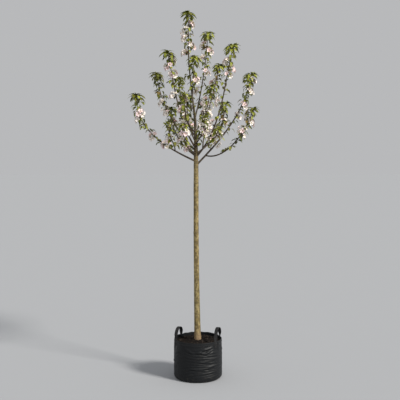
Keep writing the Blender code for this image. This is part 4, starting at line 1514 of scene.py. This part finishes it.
def near_strap(turn):
    """1 behind a sewn strap, where the cloth is held flat, and 0 away from it."""
    held = 0.0
    for start, end, _ in HANDLES.values():
        for heading in (start, end):
            off = abs(math.remainder(turn - math.radians(heading), 2 * math.pi)) * BAG_RADIUS
            held = max(held, 1.0 - ease(off, 0.012, 0.030))
    return held


def fold_rise(fold, turn, height):
    """A rounded ridge with a hollow under it."""
    around = math.remainder(turn - math.radians(fold.heading), 2 * math.pi) * BAG_RADIUS
    up = height - fold.height
    tilt = math.radians(fold.tilt)
    along = (around * math.cos(tilt) + up * math.sin(tilt)) / fold.length
    across = (up * math.cos(tilt) - around * math.sin(tilt)) / fold.width
    if abs(along) > 2.2 or abs(across) > 4.0:
        return 0.0
    ridge = math.exp(-across * across) - 0.75 * math.exp(-((across + 1.5) / 0.7) ** 2)
    return fold.rise * ridge * math.exp(-along**4)


def crease(turn, height):
    """How far the cloth stands out from the plain wall, in metres."""
    warp = round_noise(turn, height, 1.3, 7, 0) * 0.022 + round_noise(turn, height, 4, 16, 4) * 0.004
    wave = abs(math.sin(math.pi * (height + warp) / CREASE_SPACING)) ** 0.55 - 0.62
    broken = ease(round_noise(turn, height, 1.9, 24, 9), -0.35, 0.25)
    facing = ease(math.cos(turn - math.radians(-55.0)), -0.5, 0.9)
    facing = max(facing, 0.50 * ease(math.sin(turn), 0.0, 0.8))
    band = ease(height, 0.012, 0.040) * (1.0 - 0.75 * ease(height, 0.200, 0.262))
    out = CREASE_DEPTH * wave * (0.25 + 0.75 * facing) * broken * band
    out += round_noise(turn, height, 2.2, 6, 20) * 0.0030 * ease(height, 0.0, 0.05)
    out += round_noise(turn, height, 16, 70, 0) * 0.0006
    out += sum(fold_rise(fold, turn, height) for fold in FOLDS)
    out *= 1.0 - 0.75 * ease(height, BAG_HEM_FOOT - 0.012, BAG_HEM_FOOT)
    held = near_strap(turn) * ease(height, 0.215, 0.240)
    return max(out, CREASE_LIMIT) * (1.0 - held) - 0.0006 * held


def bag_rows():
    """From the middle of the base up the outside, over the rim and down the inside."""
    rows = [("base", 0.060, 0.0), ("base", 0.120, 0.0)]
    for k in range(9):
        rows.append(("wall", -BAG_HEM_STEP, BAG_BASE_ROUND * (1.0 - math.cos(math.pi / 2 * k / 8))))
    height = BAG_BASE_ROUND + BAG_ROW
    while height < BAG_HEM_FOOT - 0.003:
        rows.append(("wall", -BAG_HEM_STEP, height))
        height += BAG_ROW
    rows += [("wall", -BAG_HEM_STEP, BAG_HEM_FOOT - 0.0014), ("wall", -0.0005, BAG_HEM_FOOT - 0.0010)]
    for k in range(9):
        rows.append(("wall", 0.0003, BAG_HEM_FOOT + (BAG_HEM_DEPTH - 0.0020) * k / 8))
    rows += [("wall", -0.0004, BAG_HEIGHT - 0.0007), ("wall", -0.0017, BAG_HEIGHT)]
    rows += [("wall", -0.0030, BAG_HEIGHT - 0.0007)]
    for k in range(1, 9):
        rows.append(("wall", -BAG_HEM_WALL, BAG_HEIGHT - 0.0022 - (BAG_HEM_DEPTH - 0.004) * k / 8))
    for extra, height in ((0.0, 0.235), (0.0, 0.120), (0.0, 0.026), (0.008, 0.006)):
        rows.append(("lining", -BAG_LINING - extra, height))
    rows.append(("base", 0.060, 0.004))
    return rows


def bag_point(kind, extra, height, turn):
    """The point of a row at a heading."""
    radius = extra if kind == "base" else bag_radius(height) + extra
    if kind == "wall":
        held = near_strap(turn) * ease(height, 0.200, 0.232)
        radius += crease(turn, height) + BAG_SLACK * ease(height, 0.0, 0.030) * (1.0 - held)
    dip = rim_dip(turn) * ease(height, 0.20, BAG_HEIGHT)
    dip += RIM_RUFFLE * round_noise(turn, 0.0, 5, 0, 2) * ease(height, BAG_HEM_FOOT, BAG_HEIGHT)
    return compass(turn) * radius + Vector((0.0, 0.0, height - dip))


# %% Bag
def make_bag_cloth():
    """Black woven tape: a fine plain weave with a dull gleam, dusty in patches, most low down."""
    cloth = Paint("woven_bag_cloth")
    where = cloth.uv()
    warp = cloth.maths("SINE", cloth.axis(where, "X") * (math.pi / TAPE_WIDTH))
    weft = cloth.maths("SINE", cloth.axis(where, "Y") * (math.pi / TAPE_WIDTH))
    weave = warp * weft * 0.5 + 0.5
    slow = cloth.noise(cloth.place(), 14.0)
    dust = cloth.band(cloth.noise(cloth.place((1.0, 1.0, 1.6)), 30.0, 6.0), 0.50, 0.72)
    low = 1.0 - cloth.band(cloth.axis(cloth.place(), "Z"), 0.0, 0.07)
    body = cloth.blend(slow, (0.0048, 0.0054, 0.0062), (0.0100, 0.0112, 0.0125))
    body = cloth.blend(weave * 0.25, body, (0.020, 0.022, 0.024))
    cloth.colour(cloth.blend(dust * (low * 0.25 + 0.06), body, (0.085, 0.074, 0.060)))
    cloth.shader.inputs["Specular IOR Level"].default_value = 0.19
    cloth.rough(0.39 + slow * 0.14 + dust * 0.20)
    cloth.bump(weave * 0.6 + slow * 0.4, 0.0002)
    return cloth.material


def ring_mesh(name, rings, around):
    """A closed skin over rings of points, drawn to a point at each end, with UVs in metres."""
    count = len(rings[0])
    lengths = Path([ring[0] for ring in rings]).marks
    corners = [point for ring in rings for point in ring]
    corners += [sum(rings[0], Vector((0, 0, 0))) / count, sum(rings[-1], Vector((0, 0, 0))) / count]
    faces = []
    uvs = []
    for i in range(len(rings) - 1):
        for k in range(count):
            n = (k + 1) % count
            faces.append((i * count + k, i * count + n, (i + 1) * count + n, (i + 1) * count + k))
            left = around * k / count
            right = around * (k + 1) / count
            uvs += [left, lengths[i], right, lengths[i], right, lengths[i + 1], left, lengths[i + 1]]
    foot = len(corners) - 2
    top = foot - count
    for k in range(count):
        n = (k + 1) % count
        faces += [(foot, n, k), (foot + 1, top + k, top + n)]
        uvs += [0.0] * 12
    mesh = new_mesh(name, corners, faces)
    mesh.uv_layers.new(name="UVMap").data.foreach_set("uv", uvs)
    return mesh


def make_bag():
    """The rows turned round the pot's axis, as one closed skin."""
    turns = [2 * math.pi * k / BAG_COLUMNS for k in range(BAG_COLUMNS)]
    rings = [[bag_point(*row, turn) for turn in turns] for row in bag_rows()]
    return new_item(ring_mesh("bag_cloth", rings, 2 * math.pi * BAG_RADIUS), make_bag_cloth())


dress(make_bag(), "bag_fabric", "bag")

# %% [markdown]
# ## Webbing handles
#
# Each handle is one length of black webbing. Its ends lie flat on the bag and are sewn
# on, and between them it turns edgewise to stand up as a loop. The strap follows the
# same line as its solid, with fine ribs along it as woven webbing has.

# %% Sizes of the straps
STRAP_WIDTH = 0.025
STRAP_THICKNESS = 0.0026
STRAP_FOOT = 0.022
HANDLE_TWIST = 0.042
HANDLE_ROUNDNESS = 0.8
HANDLE_STEPS = 56
STRAP_RIBS = 9
# Stations of a sewn end: height above the hem's lower edge, and how far the wall draws in there
STRAP_STATIONS = (
    (-STRAP_FOOT, BAG_HEM_STEP), (-0.003, BAG_HEM_STEP),
    (0.0, 0.0), (0.012, 0.0), (BAG_HEM_DEPTH, 0.0),
)
# One thread across the webbing
PICK_SPACING = 0.0022


# %% The strap's line
def strap_end(heading):
    """Where one end of a strap lies on the wall: its points from foot to rim."""
    out = compass(heading)
    dip = rim_dip(heading)
    lift = STRAP_THICKNESS / 2 + GAP
    flat = math.cos(math.pi / BAG_SIDES)
    points = []
    for above, inset in STRAP_STATIONS:
        height = BAG_HEM_FOOT + above
        radius = (bag_radius(height) - inset) * flat + lift
        points.append(out * radius + Vector((0.0, 0.0, height - dip)))
    return points, Vector((-out.y, out.x, 0.0))


def handle_line(start, end, loop_rise):
    """Points of a strap's middle line, and the way its width lies at each of them."""
    first, first_side = strap_end(math.radians(start))
    last, last_side = strap_end(math.radians(end))
    a = first[-1]
    chord = last[-1] - a
    across = Vector((chord.y, -chord.x, 0.0)).normalized()
    points = list(first)
    widths = [first_side] * len(first)
    for k in range(1, HANDLE_STEPS):
        turn = math.pi * k / HANDLE_STEPS
        rise = loop_rise * math.sin(turn) ** HANDLE_ROUNDNESS
        points.append(a + chord * (0.5 - 0.5 * math.cos(turn)) + Vector((0.0, 0.0, rise)))
        side = first_side if k < HANDLE_STEPS / 2 else last_side
        facing = across if side.dot(across) > 0 else -across
        twist = min(1.0, rise / HANDLE_TWIST)
        widths.append(side.lerp(facing, twist * twist * (3 - 2 * twist)).normalized())
    points += last[::-1]
    widths += [last_side] * len(last)
    return points, widths


def strap_section():
    """The outline of webbing, counter-clockwise: ribs on both faces and round edges."""
    count = STRAP_RIBS * 4
    top = []
    for k in range(count + 1):
        x = -1.0 + 2.0 * k / count
        edge = 1.0 - abs(x) ** 12
        rib = 0.86 + 0.14 * math.cos(x * STRAP_RIBS * math.pi)
        top.append((x * STRAP_WIDTH / 2, STRAP_THICKNESS / 2 * max(0.25, edge * rib)))
    return [(x, -y) for x, y in top] + top[::-1]


# %% Straps
def make_webbing():
    """Black webbing with threads across it and a little wear."""
    strap = Paint("webbing_cloth", 0.62)
    picks = strap.maths("SINE", strap.axis(strap.uv(), "Y") * (2 * math.pi / PICK_SPACING))
    wear = strap.noise(strap.place(), 70.0)
    body = strap.blend(picks * 0.35 + 0.5, (0.0042, 0.0042, 0.0048), (0.0130, 0.0130, 0.0140))
    strap.colour(strap.blend(strap.band(wear, 0.5, 0.75) * 0.3, body, (0.036, 0.034, 0.031)))
    strap.shader.inputs["Specular IOR Level"].default_value = 0.30
    strap.bump(picks * 0.5 + wear * 0.3, 0.0006)
    return strap.material


def strap_frames(points, widths):
    """For each point of a strap: the place, the way of its width and the way of its thickness."""
    frames = []
    previous = None
    for i, (point, width) in enumerate(zip(points, widths)):
        along = (points[min(i + 1, len(points) - 1)] - points[max(i - 1, 0)]).normalized()
        wide = (width - along * width.dot(along)).normalized()
        if previous and wide.dot(previous) < 0:
            wide = -wide
        previous = wide
        frames.append((point, wide, along.cross(wide)))
    return frames


def make_strap(name, frames):
    """The webbing's outline swept along its frames."""
    section = strap_section()
    count = len(section)
    corners = []
    for point, wide, thick in frames:
        corners += [point + wide * x + thick * y for x, y in section]
    lengths = Path([point for point, _, _ in frames]).marks
    shares = [(section[i % count][0], lengths[i // count]) for i in range(len(corners))]
    mesh = unwrap(new_mesh(name, corners, tube_faces(len(corners), count)), shares)
    mesh.set_sharp_from_angle(angle=math.radians(50.0))
    return new_item(mesh, WEBBING)


WEBBING = make_webbing()
STRAPS = {name: strap_frames(*handle_line(*ends)) for name, ends in HANDLES.items()}
for name, frames in STRAPS.items():
    dress(make_strap(name.replace("handle", "strap"), frames), "webbing", name)

# %% [markdown]
# ## Stitches
#
# Two rows of thread hold the hem, and each end of a strap is sewn down in a box with
# a cross. A seam is only a line, so the lines are drawn as bare edges, and a Geometry
# Nodes tree sets a small stitch on each at an even spacing, turned along the line.

# %% A pattern that sews
STITCH_SPACING = 0.0042
THREAD_RADIUS = 0.00045
STITCH_SIDES = 6
# Heights of the hem's two seams above its lower edge, and the corners that draw them
HEM_SEAMS = (0.0034, 0.0070)
SEAM_CORNERS = 240
# The box at a strap's foot: in from the strap's edges, and how tall
BOX_INSET = 0.003
BOX_HEIGHT = 0.013


def make_sewing():
    """Bare edges in. Out comes a row of stitches along each run of them."""
    sew = Pattern("sew", Shape="Object", Spacing="Float")
    curve = sew.out(sew.node("GeometryNodeMeshToCurve", None, Mesh=sew.given("Base")))
    even = sew.node(
        "GeometryNodeResampleCurve", {"mode": "LENGTH"}, Curve=curve, Length=sew.given("Spacing"))
    points = sew.node("GeometryNodeCurveToPoints", {"mode": "EVALUATED"}, Curve=sew.out(even))
    shape = sew.node("GeometryNodeObjectInfo", None, Object=sew.given("Shape"))
    made = sew.node(
        "GeometryNodeInstanceOnPoints", None, Points=sew.out(points, "Points"),
        Instance=sew.out(shape, "Geometry"), Rotation=sew.out(points, "Rotation"))
    sew.end(sew.out(made))
    return sew


def stitch_shape():
    """A short thread that dives at both ends, along +Z, which is a curve's own way."""
    batch = Batch()
    places = (-0.0017, -0.0009, 0.0009, 0.0017)
    radii = (THREAD_RADIUS * 0.4, THREAD_RADIUS, THREAD_RADIUS, THREAD_RADIUS * 0.4)
    batch.straight(Vector((0.0, 0.0, 1.0)), places, radii, STITCH_SIDES)
    return bpy.data.objects.new("stitch_shape", batch.mesh("stitch_shape"))


# %% Seams
def sewn_box(end):
    """A box with a cross, on the outer face of a strap's foot."""
    foot, wide, _ = end[0]
    face = compass(math.atan2(foot.y, foot.x)) * (STRAP_THICKNESS / 2 + 0.0001)
    up = (end[1][0] - foot).normalized()
    low = foot + up * BOX_INSET + face
    side = wide * (STRAP_WIDTH / 2 - BOX_INSET)
    a = low - side
    b = low + side
    c = b + up * BOX_HEIGHT
    d = a + up * BOX_HEIGHT
    return [[a, b, c, d, a], [a, c], [b, d]]


def seam_lines():
    """The hem's two rows and the sewn boxes, as runs of points."""
    runs = []
    for up in HEM_SEAMS:
        turns = [2 * math.pi * k / SEAM_CORNERS for k in range(SEAM_CORNERS + 1)]
        runs.append([bag_point("wall", 0.0005, BAG_HEM_FOOT + up, turn) for turn in turns])
    for frames in STRAPS.values():
        runs += sewn_box(frames[:2]) + sewn_box(frames[-1:-3:-1])
    return runs


def make_stitches():
    """Every seam as bare edges, which the pattern sews."""
    corners = []
    edges = []
    for run in seam_lines():
        first = len(corners)
        corners += run
        edges += [(i, i + 1) for i in range(first, len(corners) - 1)]
    thread = Paint("black_thread", 0.5)
    tone = thread.noise(thread.place(), 200.0)
    thread.colour(thread.blend(tone, (0.020, 0.020, 0.021), (0.050, 0.050, 0.052)))
    seams = new_item(new_mesh("stitches", corners, edges=edges))
    return make_sewing().run(
        seams, Shape=stitch_shape(), Spacing=STITCH_SPACING, Material=thread.material)


dress(make_stitches(), "bag_fabric")

# %% [markdown]
# ## Compost
#
# Inside the bag lies dark compost, heaped up a little at the trunk and lower between it
# and the wall. Dark crumbs lie all over it, and fewer flat and paler chips of bark. The
# surface is modelled as an uneven disc on top of a plug, and one Geometry Nodes tree
# with a fixed seed strews both the crumbs and the chips.

# %% The compost's surface
SOIL_EDGE = 0.1652
SOIL_FLAT_RADIUS = 0.055
# Loose compost heaped up: heading, distance from the middle, spread, rise
HEAPS = ((0.0, 0.0, 0.060, 0.0070), (-128.0, 0.105, 0.048, 0.0060), (60.0, 0.090, 0.050, 0.0040))
# How far the surface sags at shares of its radius
SOIL_SAG = ((0.65, 0.0060), (0.94, 0.0024))
# The plug under the surface: radius and height from its foot up
SOIL_PLUG = ((0.100, 0.006), (0.150, 0.012), (0.162, 0.060), (0.162, 0.240), (SOIL_EDGE, 0.262))
SOIL_COLUMNS = 120
SOIL_RINGS = 34


def soil_height(radius, turn):
    """The compost's level: flat round the trunk, with a sag between it and the wall."""
    (low_share, low), (edge_share, edge) = SOIL_SAG
    sag = low * ease(radius, SOIL_FLAT_RADIUS, SOIL_EDGE * low_share)
    sag += (edge - low) * ease(radius / SOIL_EDGE, low_share, edge_share)
    x = radius * math.cos(turn)
    y = radius * math.sin(turn)
    lumps = 0.0030 * noise.noise(Vector((x * 30, y * 30, 1.0)))
    lumps += 0.0016 * noise.noise(Vector((x * 110, y * 110, 5.0)))
    for heading, away, spread, rise in HEAPS:
        middle = compass(math.radians(heading)) * away
        sag -= rise * math.exp(-((x - middle.x) ** 2 + (y - middle.y) ** 2) / spread**2)
    return SOIL_LEVEL - sag + lumps * ease(radius, 0.020, 0.045)


def soil_ring(radius, columns, lift=0.0):
    """A ring of points on the compost, or a little over it."""
    points = []
    for k in range(columns):
        turn = 2 * math.pi * k / columns
        height = soil_height(radius, turn) + lift
        points.append(compass(turn) * radius + Vector((0.0, 0.0, height)))
    return points


def make_compost_finish():
    """Nearly black grains, with patches that are damp and darker still."""
    soil = Paint("compost_crumb", 0.95)
    grains = soil.noise(soil.place(), 260.0, 6.0)
    damp = soil.noise(soil.place(), 22.0)
    body = soil.blend(
        soil.band(grains, 0.38, 0.72), (0.0032, 0.0023, 0.0018), (0.0290, 0.0200, 0.0150))
    soil.colour(soil.blend(soil.band(damp, 0.40, 0.62) * 0.7, body, (0.0055, 0.0040, 0.0032)))
    soil.shader.inputs["Specular IOR Level"].default_value = 0.20
    soil.bump(grains, 0.0030)
    return soil.material


def make_compost():
    """A plug that fills the bag, with the uneven surface on top."""
    turns = [2 * math.pi * k / SOIL_COLUMNS for k in range(SOIL_COLUMNS)]
    rings = []
    for radius, height in SOIL_PLUG:
        rings.append([compass(turn) * radius + Vector((0.0, 0.0, height)) for turn in turns])
    rings += [soil_ring(SOIL_EDGE * (1.0 - k / SOIL_RINGS), SOIL_COLUMNS) for k in range(SOIL_RINGS)]
    return new_item(ring_mesh("compost", rings, 1.0), COMPOST)


COMPOST = make_compost_finish()
dress(make_compost(), "compost", "soil")

# %% Crumbs and chips
CRUMB_RADII = (0.4, 0.9, 0.8, 0.35)
CRUMB_PLACES = (-0.9, -0.4, 0.4, 0.9)
CRUMB_SIDES = 6
CRUMB_PUSHES = (0.78, 1.15)
# Names, seeds, lengths and thickness of the shapes
CRUMB_LOOKS = (("crumb_a", 1, 1.0, 1.0), ("crumb_b", 2, 1.2, 1.0), ("crumb_c", 3, 2.2, 0.8))
CHIP_LOOKS = (("chip_a", 5, 1.6, 0.42), ("chip_b", 6, 2.8, 0.34))
# How many lie on a square metre, and their sizes
CRUMB_DENSITY = 26000.0
CRUMB_SIZES = (0.0009, 0.0032)
CHIP_DENSITY = 2200.0
CHIP_SIZES = (0.0018, 0.0040)
# They tip by up to half a radian and turn any way round
TURNS_FROM = (-0.5, -0.5, 0.0)
TURNS_TO = (0.5, 0.5, 6.28)
# The ring of compost that they lie on: its inner and outer radius, and its lift
BARE_RADII = (0.034, 0.158)
BARE_LIFT = 0.0008
BARE_COLUMNS = 60
BARE_RINGS = 17


def crumb_shape(name, seed, length, thick):
    """A lumpy crumb: a small ball pushed about at random. A bark chip is drawn out and flat."""
    rng = random.Random(seed)
    batch = Batch()
    places = [place * length for place in CRUMB_PLACES]
    batch.straight(Vector((1.0, 0.0, 0.0)), places, CRUMB_RADII, CRUMB_SIDES)
    batch.corners = [corner * rng.uniform(*CRUMB_PUSHES) for corner in batch.corners]
    batch.corners = [Vector((x, y, z * thick)) for x, y, z in batch.corners]
    return batch.mesh(name)


def make_scattering():
    """Shapes strewn over a surface, each with a random turn and size."""
    strew = Pattern(
        "strew", Shapes="Collection", Density="Float", Small="Float", Large="Float", Seed="Int")
    seed = strew.given("Seed")
    spread = strew.node(
        "GeometryNodeDistributePointsOnFaces", None, Mesh=strew.given("Base"),
        Density=strew.given("Density"), Seed=seed)
    turn = strew.node(
        "FunctionNodeRandomValue", {"data_type": "FLOAT_VECTOR"}, _0=TURNS_FROM, _1=TURNS_TO,
        Seed=seed)
    size = strew.node(
        "FunctionNodeRandomValue", {"data_type": "FLOAT"}, _2=strew.given("Small"),
        _3=strew.given("Large"), Seed=seed)
    made = strew.node(
        "GeometryNodeInstanceOnPoints", None, Points=strew.out(spread), Instance=strew.shapes(),
        Pick_Instance=True, Rotation=strew.turned(strew.out(turn)), Scale=strew.out(size, 1))
    strew.end(strew.out(made))
    return strew


def bare_surface(name):
    """A copy of the compost's surface, clear of the wall and the trunk."""
    inner, outer = BARE_RADII
    corners = []
    for k in range(BARE_RINGS):
        radius = inner + (outer - inner) * k / (BARE_RINGS - 1)
        corners += soil_ring(radius, BARE_COLUMNS, BARE_LIFT)
    faces = []
    for a in range(0, len(corners) - BARE_COLUMNS, BARE_COLUMNS):
        for k in range(BARE_COLUMNS):
            n = (k + 1) % BARE_COLUMNS
            faces.append((a + k, a + BARE_COLUMNS + k, a + BARE_COLUMNS + n, a + n))
    return new_item(new_mesh(name, corners, faces))


def make_chip_finish():
    """Bark from nearly black to tan, with a fine grain."""
    chip = Paint("bark_chip", 0.85)
    tone = chip.band(chip.noise(chip.place(), 140.0), 0.40, 0.62)
    chip.colour(chip.blend(tone, (0.014, 0.009, 0.006), (0.105, 0.070, 0.045)))
    chip.bump(chip.noise(chip.place((1.0, 1.0, 3.0)), 400.0), 0.0008)
    return chip.material


def strewn(name, looks, density, sizes, seed, material):
    """A piece of many crumbs or chips, strewn over the compost."""
    shapes = shape_box([crumb_shape(*look) for look in looks])
    return SCATTERING.run(
        bare_surface(name), Shapes=shapes, Density=density, Small=sizes[0], Large=sizes[1],
        Seed=seed, Material=material)


SCATTERING = make_scattering()
crumbs = strewn("compost_crumbs", CRUMB_LOOKS, CRUMB_DENSITY, CRUMB_SIZES, 4, COMPOST)
dress(crumbs, "compost")
chips = strewn("bark_chips", CHIP_LOOKS, CHIP_DENSITY, CHIP_SIZES, 11, make_chip_finish())
dress(chips, "compost")

# %% [markdown]
# ## Floor, light and camera
#
# A pale plain floor, even light from all round, a soft key light from the front right
# and a weak fill from the front. The floor's colour is set so that, once it is lit, it
# comes out as the backdrop does, and no horizon shows. The camera stands at eye height,
# five metres off, and looks down a little, as it did for the tree.

# %% Stage
EYE_HEIGHT = 1.5
EYE_DISTANCE = 5.0
EYE_SIDE = 0.0145
LENS = 62.0
PITCH = 2.33
FLOOR_HALF = 400.0
FLOOR_DROP = 0.0005
FLOOR_TONES = ((0.401, 0.413, 0.431), (0.405, 0.417, 0.436))
BACKDROP = (0.96, 0.97, 0.99, 1.0)
BACKDROP_STRENGTH = 0.50
# Each light: the way to it, its strength, its softness in degrees and its colour
LIGHTS = {
    "key": (Vector((1.0, -0.74, 0.86)), 3.7, 12.0, (1.0, 0.965, 0.91)),
    "fill": (Vector((-0.10, -1.0, 0.90)), 0.22, 40.0, (1.0, 0.99, 0.97)),
}


def make_floor():
    """A sheet of plain paper as wide as the view, a hair under the pot."""
    paper = Paint("pale_floor", 0.9)
    paper.colour(paper.blend(paper.noise(paper.place(), 3.0, 2.0), *FLOOR_TONES))
    paper.shader.inputs["Specular IOR Level"].default_value = 0.0
    half = FLOOR_HALF
    corners = [(-half, -half, 0.0), (half, -half, 0.0), (half, half, 0.0), (-half, half, 0.0)]
    floor = new_item(new_mesh("floor", corners, [(0, 1, 2, 3)]), paper.material)
    floor.location.z = -FLOOR_DROP


def make_light(name, way, strength, softness, colour):
    lamp = bpy.data.lights.new(name, "SUN")
    lamp.energy = strength
    lamp.angle = math.radians(softness)
    lamp.color = colour
    item = bpy.data.objects.new(name, lamp)
    item.rotation_euler = way.to_track_quat("Z", "Y").to_euler()
    item.location = way * 3.0
    bpy.context.scene.collection.objects.link(item)


def make_world():
    world = bpy.data.worlds.new("studio")
    world.use_nodes = True
    world.node_tree.nodes["Background"].inputs["Color"].default_value = BACKDROP
    world.node_tree.nodes["Background"].inputs["Strength"].default_value = BACKDROP_STRENGTH
    bpy.context.scene.world = world
    bpy.context.scene.view_settings.view_transform = "Standard"


def make_camera():
    camera = bpy.data.cameras.new("eye")
    camera.lens = LENS
    camera.sensor_width = 36.0
    eye = bpy.data.objects.new("eye", camera)
    eye.location = (EYE_SIDE, -EYE_DISTANCE, EYE_HEIGHT)
    eye.rotation_euler = (math.radians(90.0 - PITCH), 0.0, 0.0)
    bpy.context.scene.collection.objects.link(eye)
    bpy.context.scene.camera = eye


make_floor()
for name, look in LIGHTS.items():
    make_light(name, *look)
make_world()
make_camera()
